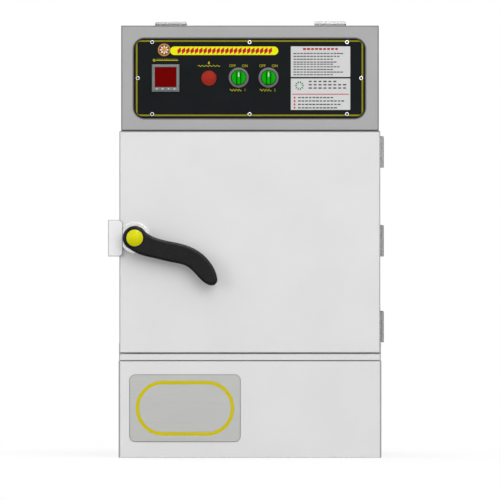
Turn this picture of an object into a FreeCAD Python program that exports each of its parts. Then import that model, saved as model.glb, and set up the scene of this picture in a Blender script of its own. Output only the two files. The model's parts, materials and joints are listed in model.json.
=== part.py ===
import FreeCAD, Part

import math
import os
import re

import Sketcher
from FreeCAD import Placement, Rotation, Vector

# Countertop steam cabinet, in millimetres.
# X runs to the right as the door is faced, Y runs from the front to the back and Z runs up.
# The origin is the middle of the underside that the cabinet rests on.

DIMENSIONS = {
    # Sheet metal and clearances
    "sheet": (1.5, "thickness of the folded steel sheet"),
    "heavy_sheet": (3.0, "thickness of the latch keeper and other stout brackets"),
    "air": (0.4, "clearance between pieces that move past each other"),
    "seat": (0.3, "clearance between a piece and what it rests on"),
    "running": (0.06, "radial clearance of a pin or shaft in its bore"),
    # Base
    "base_width": (460.0, "width of the base"),
    "base_depth": (500.0, "depth of the base, and of the cabinet without its lever"),
    "base_height": (169.2, "height of the base"),
    "base_corner": (3.5, "radius of the bends of the base at its front corners"),
    "badge_inset": (19.8, "distance of the plate from the base's left side"),
    "badge_width": (192.9, "width of the plate on the base"),
    "badge_low": (28.4, "lower edge of the plate on the base"),
    "badge_height": (116.5, "height of the plate on the base"),
    "badge_corner": (9.6, "corner radius of the plate on the base"),
    "badge_thick": (1.2, "thickness of the plate on the base"),
    # Body with the steam chamber
    "body_step": (2.0, "step from the side of the base in to the body"),
    "door_room": (46.0, "depth in front of the body for the door and its gasket"),
    "body_height": (403.1, "height of the body over the base"),
    "insulation": (25.0, "thickness of the insulation"),
    "floor_rise": (26.8, "height of the chamber floor over the base"),
    "band_high": (30.8, "height of the band that covers the joint of base and body"),
    "band_thick": (1.7, "thickness of the joint band"),
    "gutter_set": (2.5, "distance of the drip gutter behind the base's front"),
    "gutter_gap": (1.3, "clearance of the door over the drip gutter"),
    # Water tank
    "tank_half": (165.0, "half width of the water tank"),
    "tank_set_front": (100.0, "distance of the tank behind the base's front"),
    "tank_set_back": (85.0, "distance of the tank from the base's back"),
    "tank_floor": (22.0, "underside of the water tank"),
    "tank_lip": (3.0, "height of the tank's lip over the chamber floor"),
    "heater_spacing": (150.0, "distance between the two immersion heaters"),
    "heater_height": (52.0, "height of the heater tubes"),
    "heater_clear": (50.0, "clearance in front of a heater's hairpin"),
    "heater_tube": (4.2, "radius of a heater tube"),
    "heater_bend": (16.0, "bend radius of the hairpin"),
    "heater_flange": (24.0, "radius of a heater's flange"),
    # Trays and diffuser
    "tray_side": (6.5, "clearance beside a tray"),
    "tray_rim": (14.5, "width of a tray's rims at its sides"),
    "tray_set": (40.0, "distance of the trays behind the body's front"),
    "tray_clear": (18.0, "clearance behind the trays"),
    "tray_depth": (24.0, "depth of a tray"),
    "tray_rise": (62.0, "height of the lowest pair of runners over the chamber floor"),
    "tray_pitch": (76.0, "distance from one pair of runners to the next"),
    "runner": (14.0, "width of a runner"),
    "slot_length": (96.0, "length of a steam slot in a tray"),
    "slot_width": (9.0, "width of a steam slot in a tray"),
    "diffuser_height": (18.0, "height of the diffuser plate over the chamber floor"),
    "vent_radius": (12.5, "outer radius of the vent pipe"),
    "vent_rise": (34.0, "height of the vent pipe over the roof"),
    "vent_set": (120.0, "distance of the vent pipe from the body's back"),
    # Door
    "door_proud": (0.6, "overhang of the door at its latch side"),
    "door_lift": (14.0, "height of the door's lower edge over the base"),
    "door_seam": (1.2, "seam between the door and the head"),
    "door_thick": (37.5, "thickness of the door"),
    "door_bend": (2.0, "radius of the bends around the door's face"),
    "gasket_wide": (12.0, "width of the door gasket"),
    "panel_inset": (14.0, "distance of the door's raised inner panel from the chamber's sides"),
    "panel_rise": (6.0, "height of the door's raised inner panel"),
    "panel_corner": (18.0, "corner radius of the door's raised inner panel"),
    "panel_slope": (2.5, "chamfer around the door's raised inner panel"),
    # Hinges, all of one size
    "hinge_length": (53.5, "length of a butt hinge"),
    "hinge_leaf": (1.6, "thickness of a hinge leaf"),
    "hinge_leaf_wide": (22.0, "width of a hinge leaf beside its knuckles"),
    "hinge_radius": (3.75, "radius of a hinge knuckle"),
    "hinge_pin": (2.0, "radius of a hinge pin"),
    "hinge_out": (3.15, "distance of the hinge axis from the door's side"),
    "hinge_end": (45.0, "middle of the lowest side hinge, from the door's lower edge"),
    "hinge_step": (155.8, "distance of the middle side hinge below the highest"),
    "hinge_start": (36.5, "middle of the highest side hinge, from the door's upper edge"),
    "top_hinge_x": (139.5, "middle of each top hinge, from the middle"),
    # Latch
    "latch_inset": (27.2, "distance of the latch spindle from the door's edge"),
    "latch_rise": (201.4, "height of the latch spindle over the door's lower edge"),
    "rose_radius": (27.2, "radius of the disc behind the lever"),
    "rose_thick": (3.0, "thickness of the disc behind the lever"),
    "rose_slope": (1.0, "chamfer of the disc behind the lever"),
    "spindle_radius": (6.0, "radius of the latch spindle"),
    "lever_gap": (18.0, "space for fingers between the lever and the door"),
    "lever_thick": (15.0, "thickness of the lever"),
    "lever_boss": (21.1, "radius of the lever's boss"),
    "lever_neck": (17.0, "radius of the lever's neck"),
    "cap_radius": (14.8, "radius of the domed cap"),
    "cap_rise": (5.0, "height of the dome"),
    "case_out": (19.6, "reach of the latch housing beside the door"),
    "case_lap": (6.0, "overlap of the latch housing on the door's face"),
    "case_below": (32.3, "height of the latch housing below its axis"),
    "case_above": (31.6, "height of the latch housing above its axis"),
    "case_corner": (7.5, "radius of the latch housing's right corners"),
    "case_face": (6.0, "thickness of the latch housing's face"),
    "case_wall": (2.0, "thickness of the latch housing's walls"),
    "tongue_reach": (37.5, "length of the latch tongue from its axis"),
    "tongue_wide": (16.0, "width of the latch tongue"),
    "tongue_thick": (5.0, "thickness of the latch tongue"),
    "tongue_set": (14.5, "depth of the latch tongue behind the door's face"),
    "keeper_height": (40.0, "height of the keeper"),
    "keeper_gap": (1.5, "clearance between the tongue and the keeper's lip"),
    "keeper_room": (2.0, "clearance between the keeper and the latch housing"),
    # Control head
    "head_step": (2.5, "step from the side of the body in to the head"),
    "head_height": (184.1, "height of the control head"),
    "head_set": (2.0, "distance of the head behind the base's front"),
    "head_depth": (240.0, "depth of the control head"),
    "cover_depth": (26.0, "depth of the hinged front cover"),
    "cover_gap": (1.0, "seam between the front cover and the housing"),
    "cover_bend": (2.5, "radius of the bends around the front cover"),
    "window_margin_left": (19.0, "metal left of the cover's opening"),
    "window_margin_right": (20.9, "metal right of the cover's opening"),
    "window_margin_low": (18.3, "metal below the cover's opening"),
    "window_margin_top": (20.0, "metal above the cover's opening"),
    "window_corner": (22.0, "corner radius of the cover's opening"),
    "window_roll": (3.0, "radius of the rolled edge around the opening"),
    "plate_thick": (2.0, "thickness of the control plate"),
    "screw_head": (4.2, "radius of an M4 button head"),
    "screw_rise": (2.2, "height of an M4 button head"),
    "screw_shank": (2.0, "radius of an M4 screw"),
    "screw_crown": (3.2, "radius of the flat on an M4 button head"),
    "screw_key": (2.0, "radius of the key socket in an M4 button head"),
    "controller_x": (-147.7, "middle of the temperature controller"),
    "controller_rise": (73.8, "height of the controller over the opening's lower edge"),
    "controller_face": (48.0, "side of the controller's square bezel"),
    "controller_body": (44.6, "side of the controller's case behind the plate"),
    "controller_deep": (72.0, "depth of the controller's case behind the plate"),
    "lamp_x": (-71.9, "middle of the low-water lamp"),
    "lamp_radius": (13.2, "radius of the low-water lamp"),
    "selector_one_x": (-19.8, "middle of the left selector switch"),
    "selector_two_x": (32.5, "middle of the right selector switch"),
    "selector_rise": (74.6, "height of the selectors over the opening's lower edge"),
    "selector_ring": (17.6, "radius of a selector's bezel"),
    "selector_knob": (12.2, "radius of a selector's knob"),
    "knob_well": (13.4, "radius of the well in a selector's bezel"),
    "knob_sunk": (2.4, "depth of the well in a selector's bezel"),
    "selector_shank": (11.0, "radius of a selector behind the plate"),
    "selector_rim": (5.0, "height of a selector's bezel"),
    "ring_slope": (1.5, "chamfer of a selector's bezel"),
    "selector_deep": (16.0, "depth of a selector's body behind the plate's face"),
    "selector_shaft": (5.0, "radius of a knob's shaft"),
    "selector_bore": (9.0, "depth of a knob's shaft behind the plate's face"),
    "contact_deep": (24.0, "depth of the contact block behind a selector"),
    "contact_high": (34.0, "height of the contact block behind a selector"),
    "knob_disc": (7.0, "thickness of a knob's disc"),
    "knob_bar": (5.5, "height of the bar across a knob"),
    "knob_grip": (5.2, "width of the bar across a knob"),
    "knob_groove": (1.7, "width of the grooves beside the bar of a knob"),
    "groove_deep": (5.0, "depth of the grooves beside the bar of a knob"),
    "knob_reach": (11.4, "half length of the bar across a knob"),
    "knob_round": (1.2, "rounding of the bar across a knob"),
    "lamp_shank": (10.8, "radius of the lamp behind the plate"),
    "lamp_deep": (32.0, "depth of the lamp behind the plate's face"),
    "lamp_rim": (2.4, "height of the lamp's rim"),
    "lens_radius": (11.4, "radius of the lamp's lens"),
    "lens_mid": (6.6, "radius of the flat part of the lamp's lens"),
    "lens_low": (3.4, "height of the lens at its edge"),
    "lens_high": (5.2, "height of the lens around its middle"),
    "lens_crown": (5.9, "height of the lens at its middle"),
    "bezel_rise": (6.0, "height of the controller's bezel over the plate"),
    "bezel_slope": (2.4, "chamfer around the controller's bezel"),
    "display_wide": (38.4, "width of the controller's window"),
    "display_high": (35.6, "height of the controller's window"),
    "display_low": (-16.0, "lower edge of the window, from the controller's middle"),
    "display_sunk": (1.0, "thickness of the controller's window"),
    "key_first": (-15.6, "middle of the first key, from the controller's middle"),
    "key_pitch": (10.4, "distance from key to key"),
    "key_level": (-19.0, "middle of the keys, from the controller's middle"),
    "key_wide": (7.0, "width of a key"),
    "key_high": (3.0, "height of a key"),
    "key_thick": (3.0, "thickness of a key"),
    "key_travel": (0.8, "travel of a key"),
    "plate_ledge": (14.0, "width of the ledge that carries the control plate"),
    "screw_column": (170.55, "distance of the outer screw columns from the middle one"),
    "screw_middle": (-0.7, "middle column of plate screws"),
    "screw_end": (10.0, "distance of the end screws from the opening's ends"),
    "screw_margin_low": (10.7, "height of the lower screws over the opening's lower edge"),
    "screw_margin_top": (9.0, "distance of the upper screws below the opening's upper edge"),
    "contactor_x": (-70.0, "middle of the contactor"),
    "contactor_set": (118.0, "distance of the contactor and the terminal strip behind the head's front"),
    "contactor_half": (27.0, "half width of the contactor"),
    "contactor_deep": (72.0, "depth of the contactor"),
    "contactor_high": (78.0, "height of the contactor"),
    "contactor_well": (12.0, "depth of the contactor's screw wells"),
    "contactor_step": (46.8, "height of the contactor's terminals"),
    "crown_half": (16.2, "half width of the contactor over its terminals"),
    "well_wide": (10.8, "width of the contactor's screw wells"),
    "well_low": (35.0, "height of the floor of the screw wells"),
    "strip_x": (20.0, "left end of the terminal strip"),
    "strip_pitch": (13.0, "distance between terminals"),
    "strip_count": (8, "number of terminals"),
    "strip_deep": (26.0, "depth of the terminal strip"),
    "strip_high": (22.0, "height of the terminal strip"),
    "gland_x": (150.0, "middle of the cable gland"),
    "gland_rise": (39.7, "height of the cable gland over the body"),
    "gland_thread": (10.0, "radius of the gland's thread"),
    "gland_wall": (3.5, "wall of the gland around the cable"),
    "gland_nut": (14.0, "radius of the gland's flange"),
    "gland_flange": (5.0, "thickness of the gland's flange"),
    "gland_cap": (12.0, "radius of the gland's cap"),
    "gland_slope": (3.0, "chamfer of the gland's cap"),
    "gland_out": (22.0, "length of the gland behind the housing"),
    "gland_inside": (12.0, "length of the gland inside the housing"),
    # Latch details
    "case_deep": (36.0, "depth of the latch housing behind the door's face"),
    "case_round": (1.2, "rounding of the latch housing's face"),
    "tongue_sweep": (29.5, "lowest reach of the tongue where it leaves the door, from its axis"),
    "latch_room": (41.5, "radius of the pocket in the insulation around the tongue"),
    "tongue_nose": (3.0, "corner radius of the tongue's tip"),
    "lip_gap": (2.4, "clearance between the keeper's lip and the door"),
    "keeper_flange": (40.0, "length of the keeper's flange on the body"),
    "spindle_cover": (5.0, "thickness of the lever in front of the spindle"),
    "lever_reach": (144.1, "reach of the lever to the right of its axis"),
    "lever_round": (4.5, "rounding of the lever's front edges"),
    # Service openings and fittings of the base
    "service_half": (96.0, "half width of the service opening at the back"),
    "service_low": (22.0, "lower edge of the service opening"),
    "service_height": (72.0, "height of the service opening"),
    "cover_lap": (11.0, "overlap of the rear cover around its opening"),
    "louvre_left": (-84.0, "left edge of the first louvre"),
    "louvre_wide": (6.0, "width of a louvre"),
    "louvre_high": (44.0, "height of a louvre"),
    "louvre_pitch": (18.0, "distance from louvre to louvre"),
    "louvre_count": (10, "number of louvres"),
    "heater_hole": (21.5, "radius of the heater's hole in the tank"),
    "heater_plate": (4.0, "thickness of a heater's flange"),
    "heater_cap": (30.0, "length of a heater's terminal cap"),
    "port_hole": (11.5, "radius of the holes for the water fittings"),
    "port_shank": (10.48, "outer radius of a half-inch pipe thread"),
    "port_collar": (15.0, "radius of the fittings' collars"),
    "port_bore": (7.0, "radius of the waterway"),
    "port_out": (16.0, "length of the inlet behind the base"),
    "inlet_inset": (40.0, "distance of the water inlet from the tank's left side"),
    "inlet_z": (128.0, "height of the water inlet"),
    "valve_inside": (30.0, "length of the float valve inside the tank"),
    "valve_collar": (10.0, "length of the fittings' collars"),
    "float_fork": (14.0, "gap of the float valve's fork"),
    "float_ear": (4.0, "thickness of the fork's ears"),
    "float_pin": (3.0, "radius of the float arm's pin"),
    "float_rod": (3.0, "radius of the float arm"),
    "float_reach": (120.0, "length of the float arm to the middle of its ball"),
    "float_ball": (26.0, "radius of the float ball"),
    "drain_inset": (37.0, "distance of the drain valve from the tank's right side"),
    "drain_z": (45.0, "height of the drain valve"),
    "drain_case": (16.0, "radius of the drain valve's ball case"),
    "drain_set": (24.0, "distance of the ball case behind the base"),
    "drain_out": (34.0, "length of the drain outlet behind the inlet's end"),
    "drain_stem": (4.0, "radius of the drain valve's stem"),
    "drain_neck": (8.0, "height of the stem over the ball case"),
    "drain_hub": (5.0, "depth of the drain lever's hub"),
    "drain_hub_radius": (6.5, "radius of the drain lever's hub"),
    "drain_lever_reach": (52.0, "length of the drain lever"),
    "valve_lip": (4.0, "length of the drain inside the tank"),
    "level_x": (0.0, "middle of the level switch"),
    "level_set": (80.0, "distance of the level switch from the tank's front"),
    "level_stem": (3.0, "radius of the level switch's stem"),
    "level_height": (78.0, "height of the level switch"),
    "level_collar": (4.0, "thickness of the level switch's collars"),
    "level_float_radius": (14.0, "radius of the level float"),
    "level_float_height": (16.0, "height of the level float"),
    # Chamber details
    "vent_lip": (4.0, "length of the vent pipe inside the chamber"),
    "vent_flange": (22.0, "radius of the vent pipe's flange"),
    "rack_set": (32.0, "distance of the racks behind the body's front"),
    "rack_clear": (10.0, "clearance behind the racks"),
    "rack_margin": (22.0, "height of a rack over its highest runner"),
    "tray_lip": (14.0, "width of a tray's rims at its front and back"),
    "slot_spacing": (112.0, "distance between the columns of slots"),
    "slot_start": (34.0, "distance of the first slots from a tray's front edge"),
    "slot_rows": (10, "rows of steam slots"),
    "diffuser_set": (24.0, "distance of the diffuser plate behind the body's front"),
    "diffuser_clear": (14.0, "clearance behind the diffuser plate"),
    "diffuser_side": (12.0, "clearance beside the diffuser plate"),
    "diffuser_spacing": (168.0, "distance between the columns of slots in the diffuser"),
    "diffuser_slot": (116.0, "length of a slot in the diffuser"),
}

TRAYS = 4
KEYS = 4
DRAIN_PORT = ("drain_x", "drain_z")
INLET_PORT = ("inlet_x", "inlet_z")

SHEET_NAME = "Size"

doc = FreeCAD.newDocument("steam_cabinet")
sheet = doc.addObject("Spreadsheet::Sheet", SHEET_NAME)
for row, (alias, (value, meaning)) in enumerate(DIMENSIONS.items(), start=1):
    sheet.set(f"A{row}", meaning)
    sheet.set(f"B{row}", str(value))
    sheet.setAlias(f"B{row}", alias)
doc.recompute()

finished_nodes = []

# Sums that more than one piece uses, each from the sizes above or from earlier sums.
SUMS = {
    "base_half": "base_width / 2",
    "base_front": "-base_depth / 2",
    "base_back": "base_depth / 2",
    "body_half": "(base_half - body_step)",
    "body_front": "(base_front + door_room)",
    "body_top": "(base_height + body_height)",
    "band_top": "(base_height + band_high)",
    "floor": "(base_height + floor_rise)",
    "badge_left": "(badge_inset - base_half)",
    "gutter_front": "(base_front + gutter_set)",
    "service_top": "(service_low + service_height)",
    "tank_front": "(base_front + tank_set_front)",
    "tank_back": "(base_back - tank_set_back)",
    "inlet_x": "(inlet_inset - tank_half)",
    "drain_x": "(tank_half - drain_inset)",
    "heater_length": "(tank_back - tank_front - heater_clear)",
    "level_y": "(tank_front + level_set)",
    "float_axis_y": "(tank_back - valve_inside - port_shank - float_ear)",
    "float_axis_z": "inlet_z",
    "drain_y": "(base_back + drain_set)",
    "cell_half": "(body_half - insulation - sheet)",
    "cell_top": "(body_top - insulation - sheet)",
    "cell_back": "(base_back - insulation - sheet)",
    "tray_half": "(cell_half - sheet - tray_side)",
    "tray_pan_half": "(tray_half - tray_rim)",
    "tray_front": "(body_front + tray_set)",
    "tray_length": "(cell_back - sheet - tray_clear - tray_front)",
    "tray_first": "(floor + tray_rise)",
    "rack_front": "(body_front + rack_set)",
    "rack_back": "(cell_back - sheet - rack_clear)",
    "diffuser_front": "(body_front + diffuser_set)",
    "diffuser_length": "(cell_back - sheet - diffuser_clear - diffuser_front)",
    "vent_back": "(base_back - vent_set)",
    "door_left": "(-body_half - door_proud)",
    "door_right": "body_half",
    "door_low": "(base_height + door_lift)",
    "door_top": "(body_top - door_seam)",
    "door_front": "base_front",
    "door_back": "(door_front + door_thick)",
    "gap_middle": "(body_front + door_back) / 2",
    "side_hinge_x": "(door_right + hinge_out)",
    "side_hinge_low": "(door_low + hinge_end)",
    "side_hinge_top": "(door_top - hinge_start)",
    "side_hinge_mid": "(side_hinge_top - hinge_step)",
    "latch_x": "(door_left + latch_inset)",
    "latch_z": "(door_low + latch_rise)",
    "lever_back": "(door_front - lever_gap)",
    "lever_front": "(lever_back - lever_thick)",
    "case_left": "(door_left - case_out)",
    "case_right": "(door_left + case_lap)",
    "case_low": "(latch_z - case_below)",
    "case_top": "(latch_z + case_above)",
    "case_back": "(door_front + case_deep)",
    "tongue_front": "(door_front + tongue_set)",
    "lip_end": "(door_left - lip_gap)",
    "lip_back": "(tongue_front - keeper_gap)",
    "lip_front": "(lip_back - heavy_sheet)",
    "keeper_outer": "(case_left + case_wall + keeper_room)",
    "head_half": "(body_half - head_step)",
    "head_front": "(base_front + head_set)",
    "head_back": "(head_front + head_depth)",
    "head_top": "(body_top + head_height)",
    "seam": "(head_front + cover_depth)",
    "seam_middle": "(seam + cover_gap / 2)",
    "top_hinge_z": "(head_top + hinge_radius + seat)",
    "plate_front": "(head_front + sheet + window_roll)",
    "plate_back": "(plate_front + plate_thick)",
    "window_left": "(window_margin_left - head_half)",
    "window_right": "(head_half - window_margin_right)",
    "window_low": "(body_top + window_margin_low)",
    "window_top": "(head_top - window_margin_top)",
    "controller_z": "(window_low + controller_rise)",
    "selector_z": "(window_low + selector_rise)",
    "well_floor": "(selector_rim - knob_sunk)",
    "groove_middle": "(knob_grip + knob_groove) / 2",
    "screw_left": "(screw_middle - screw_column)",
    "screw_right": "(screw_middle + screw_column)",
    "screw_low": "(window_low + screw_margin_low)",
    "screw_top": "(window_top - screw_margin_top)",
    "screw_far_left": "(window_left + screw_end)",
    "screw_far_right": "(window_right - screw_end)",
    "contactor_y": "(head_front + contactor_set)",
    "gland_z": "(body_top + gland_rise)",
}


def formula(text):
    """A sum with its named parts spelled out and every size read from the sheet."""
    words = re.compile(r"[a-z][a-z_]*")
    while any(word in SUMS for word in words.findall(text)):
        text = words.sub(lambda word: f"({SUMS[word[0]]})" if word[0] in SUMS else word[0], text)
    return words.sub(lambda word: f"{SHEET_NAME}.{word[0]}" if word[0] in DIMENSIONS else word[0], text)


def bind(thing, prop, text):
    """Ties one property to a sum of sizes."""
    thing.setExpression(prop, formula(text))


def amount(text):
    """The value that a sum of sizes has now."""
    return float(sheet.evalExpression(formula(text)))


def keep(thing, name):
    """Names a finished piece and puts it on the list of those that are written."""
    thing.Label = name
    finished_nodes.append(thing)
    return thing


# Pieces from primitives

def block(x, y, z):
    """A box between two sums on each axis."""
    box = doc.addObject("Part::Box", "Block")
    for prop, axis, (low, high) in (("Length", "x", x), ("Width", "y", y), ("Height", "z", z)):
        bind(box, prop, f"({high}) - ({low})")
        bind(box, f"Placement.Base.{axis}", low)
    return box


TURNS = {
    "up": Rotation(),
    "front": Rotation(Vector(1, 0, 0), 90),
    "back": Rotation(Vector(1, 0, 0), -90),
    "right": Rotation(Vector(0, 1, 0), 90),
    "left": Rotation(Vector(0, 1, 0), -90),
}


def put(thing, facing, x, y, z):
    """Turns a piece so that its own Z axis faces a side, and moves its origin to three sums."""
    thing.Placement = Placement(Vector(), TURNS[facing])
    for axis, text in (("x", x), ("y", y), ("z", z)):
        bind(thing, f"Placement.Base.{axis}", text)
    return thing


def rod(facing, x, y, z, radius, length):
    """A cylinder that starts at a point and runs towards a side."""
    cylinder = doc.addObject("Part::Cylinder", "Rod")
    bind(cylinder, "Radius", radius)
    bind(cylinder, "Height", length)
    return put(cylinder, facing, x, y, z)


def joined(pieces):
    """Several solids fused into one."""
    fuse = doc.addObject("Part::MultiFuse", "Joined")
    fuse.Shapes = pieces
    fuse.Refine = True
    return fuse


def cut(base, tools):
    """A solid less one or more others."""
    result = doc.addObject("Part::Cut", "Cut")
    result.Base = base
    result.Tool = tools[0] if len(tools) == 1 else joined(tools)
    result.Refine = True
    return result


def group(pieces):
    """Separate solids that are one node, such as a set of pins."""
    compound = doc.addObject("Part::Compound", "Set")
    compound.Links = pieces
    return compound


# Pieces from sketches and features

def new_body(name):
    body = doc.addObject("PartDesign::Body", name)
    return body


def own_plane(body, role):
    return next(item for item in body.Origin.OriginFeatures if item.Role == role)


def place_point(sketch, geometry, end, across, up):
    """Holds one point of a sketch at two sums from the sketch's origin."""
    for kind, axis, text in (("DistanceX", -2, across), ("DistanceY", -1, up)):
        if text == "0":
            sketch.addConstraint(Sketcher.Constraint("PointOnObject", geometry, end, axis))
        else:
            number = sketch.addConstraint(Sketcher.Constraint(kind, -1, 1, geometry, end, 1.0))
            bind(sketch, f"Constraints[{number}]", text)


def add_outline(sketch, corners):
    """A closed outline of straight lines with every corner placed by two sums."""
    first = sketch.GeometryCount
    count = len(corners)
    angles = [2 * math.pi * index / count for index in range(count)]
    points = [Vector(math.cos(angle), math.sin(angle), 0) for angle in angles]
    for index in range(count):
        sketch.addGeometry(Part.LineSegment(points[index], points[(index + 1) % count]))
    for index, (across, up) in enumerate(corners):
        following = first + (index + 1) % count
        sketch.addConstraint(Sketcher.Constraint("Coincident", first + index, 2, following, 1))
        place_point(sketch, first + index, 1, across, up)


def add_circle(sketch, across, up, radius):
    circle = sketch.addGeometry(Part.Circle(Vector(), Vector(0, 0, 1), 1.0))
    number = sketch.addConstraint(Sketcher.Constraint("Radius", circle, 1.0))
    bind(sketch, f"Constraints[{number}]", radius)
    place_point(sketch, circle, 3, across, up)


def oblong(across, up):
    """The four corners of a rectangle between two sums each way."""
    return [(across[0], up[0]), (across[1], up[0]), (across[1], up[1]), (across[0], up[1])]


def draw(body, plane, height, shapes):
    """A sketch on one of the body's own planes: lists are outlines, tuples are circles."""
    sketch = body.newObject("Sketcher::SketchObject", "Sketch")
    sketch.AttachmentSupport = [(own_plane(body, plane), "")]
    sketch.MapMode = "FlatFace"
    bind(sketch, "AttachmentOffset.Base.z", height)
    for shape in shapes:
        if isinstance(shape, tuple):
            add_circle(sketch, *shape)
        else:
            add_outline(sketch, shape)
    return sketch


def add(body, low, high, shapes):
    """Material between two heights over the body's own base plane."""
    feature = body.newObject("PartDesign::Pad", "Pad")
    feature.Profile = draw(body, "XY_Plane", low, shapes)
    bind(feature, "Length", f"({high}) - ({low})")
    return feature


def take(body, low, high, shapes):
    """A recess between two heights, from the higher one down."""
    doc.recompute()
    before = body.Shape.Volume
    feature = body.newObject("PartDesign::Pocket", "Pocket")
    feature.Profile = draw(body, "XY_Plane", high, shapes)
    bind(feature, "Length", f"({high}) - ({low})")
    doc.recompute()
    if body.Shape.Volume >= before:
        raise ValueError(f"{body.Label}: a recess cuts nothing")
    return feature


def recess(body, low, high, shapes):
    """A recess between two heights, from the lower one up."""
    doc.recompute()
    before = body.Shape.Volume
    feature = body.newObject("PartDesign::Pocket", "Recess")
    feature.Profile = draw(body, "XY_Plane", low, shapes)
    feature.Reversed = True
    bind(feature, "Length", f"({high}) - ({low})")
    doc.recompute()
    if body.Shape.Volume >= before:
        raise ValueError(f"{body.Label}: a recess cuts nothing")
    return feature


def turned(body, corners):
    """A profile of (radius, height) corners turned about the body's own Z axis."""
    feature = body.newObject("PartDesign::Revolution", "Revolution")
    sketch = draw(body, "XZ_Plane", "0", [corners])
    feature.Profile = sketch
    feature.ReferenceAxis = (sketch, ["V_Axis"])
    feature.Angle = 360
    return feature


def soften(body, radius, chosen, kind="PartDesign::Fillet"):
    """Rounds or chamfers the edges of a body that a test chooses."""
    doc.recompute()
    last = body.Tip
    names = [f"Edge{number}" for number, edge in enumerate(last.Shape.Edges, start=1) if chosen(edge)]
    if not names:
        raise ValueError(f"{body.Label}: no edge to soften")
    feature = body.newObject(kind, kind.split("::")[1])
    feature.Base = (last, names)
    bind(feature, "Radius" if kind.endswith("Fillet") else "Size", radius)
    doc.recompute()
    return feature


def straight(edge, axis):
    """True for a straight edge along the body's own x, y or z."""
    if not isinstance(edge.Curve, Part.Line):
        return False
    return abs(getattr(edge.Curve.Direction, axis)) > 0.999


def at_height(edge, height):
    """True for an edge that lies in one plane across the body's own Z axis."""
    box = edge.BoundBox
    return abs(box.ZMin - height) < 0.01 and abs(box.ZMax - height) < 0.01


# Base: a folded sheet box that is open below, its bottom plate and what it holds

def make_base_shell():
    body = new_body("BaseShell")
    put(body, "up", "0", "0", "0")
    footprint = oblong(("-base_half", "base_half"), ("base_front", "base_back"))
    inside = oblong(("-base_half + sheet", "base_half - sheet"),
                    ("base_front + sheet", "base_back - sheet"))
    mouth = oblong(("-tank_half", "tank_half"), ("tank_front", "tank_back"))
    service = oblong(("-service_half", "service_half"), ("service_low", "service_top"))
    add(body, "0", "base_height", [footprint])
    soften(body, "base_corner", lambda edge: straight(edge, "z") and edge.CenterOfMass.y < 0)
    recess(body, "0", "base_height - sheet", [inside])
    take(body, "base_height - sheet", "base_height", [mouth])
    rear = body.newObject("PartDesign::Pocket", "RearOpenings")
    openings = [service, (*DRAIN_PORT, "port_hole"), (*INLET_PORT, "port_hole")]
    rear.Profile = draw(body, "XZ_Plane", "-base_back", openings)
    rear.Reversed = True
    bind(rear, "Length", "2 * sheet")
    doc.recompute()
    return keep(body, "base_shell")


def make_base_plates():
    bottom = block(("-base_half + sheet + seat", "base_half - sheet - seat"),
                   ("base_front + sheet + seat", "base_back - sheet - seat"), ("0", "sheet"))
    keep(bottom, "base_bottom_plate")
    pad = block(("-tank_half + insulation", "tank_half - insulation"),
                ("tank_front + insulation", "tank_back - insulation"), ("sheet", "tank_floor"))
    keep(pad, "tank_pad")
    badge = new_body("BadgePlate")
    put(badge, "front", "badge_left", "base_front", "badge_low")
    add(badge, "0", "badge_thick", [oblong(("0", "badge_width"), ("0", "badge_height"))])
    soften(badge, "badge_corner", lambda edge: straight(edge, "z"))
    keep(badge, "badge_plate")
    cover = new_body("RearCover")
    put(cover, "back", "0", "base_back", "service_low + service_height / 2")
    reach = ("-service_half - cover_lap", "service_half + cover_lap")
    rise = ("-service_height / 2 - cover_lap", "service_height / 2 + cover_lap")
    add(cover, "0", "sheet", [oblong(reach, rise)])
    doc.recompute()
    louvre = oblong(("louvre_left", "louvre_left + louvre_wide"), ("-louvre_high / 2", "louvre_high / 2"))
    row = take(cover, "0", "sheet", [louvre])
    pattern = cover.newObject("PartDesign::LinearPattern", "LouvreRow")
    pattern.Originals = [row]
    pattern.Direction = (own_plane(cover, "X_Axis"), [""])
    bind(pattern, "Length", "(louvre_count - 1) * louvre_pitch")
    bind(pattern, "Occurrences", "louvre_count")
    cover.Tip = pattern
    keep(cover, "rear_cover")


def make_tank():
    outside = block(("-tank_half", "tank_half"), ("tank_front", "tank_back"),
                    ("tank_floor", "floor + sheet + tank_lip"))
    inside = block(("-tank_half + sheet", "tank_half - sheet"), ("tank_front + sheet", "tank_back - sheet"),
                   ("tank_floor + sheet", "floor + 2 * sheet + tank_lip"))
    bores = [rod("back", x, "tank_back - 2 * sheet", "heater_height", "heater_hole", "4 * sheet")
             for x in ("-heater_spacing / 2", "heater_spacing / 2")]
    bores += [rod("back", x, "tank_back - 2 * sheet", z, "port_shank + seat", "4 * sheet")
              for x, z in (DRAIN_PORT, INLET_PORT)]
    keep(cut(outside, [inside] + bores), "water_tank")


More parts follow.
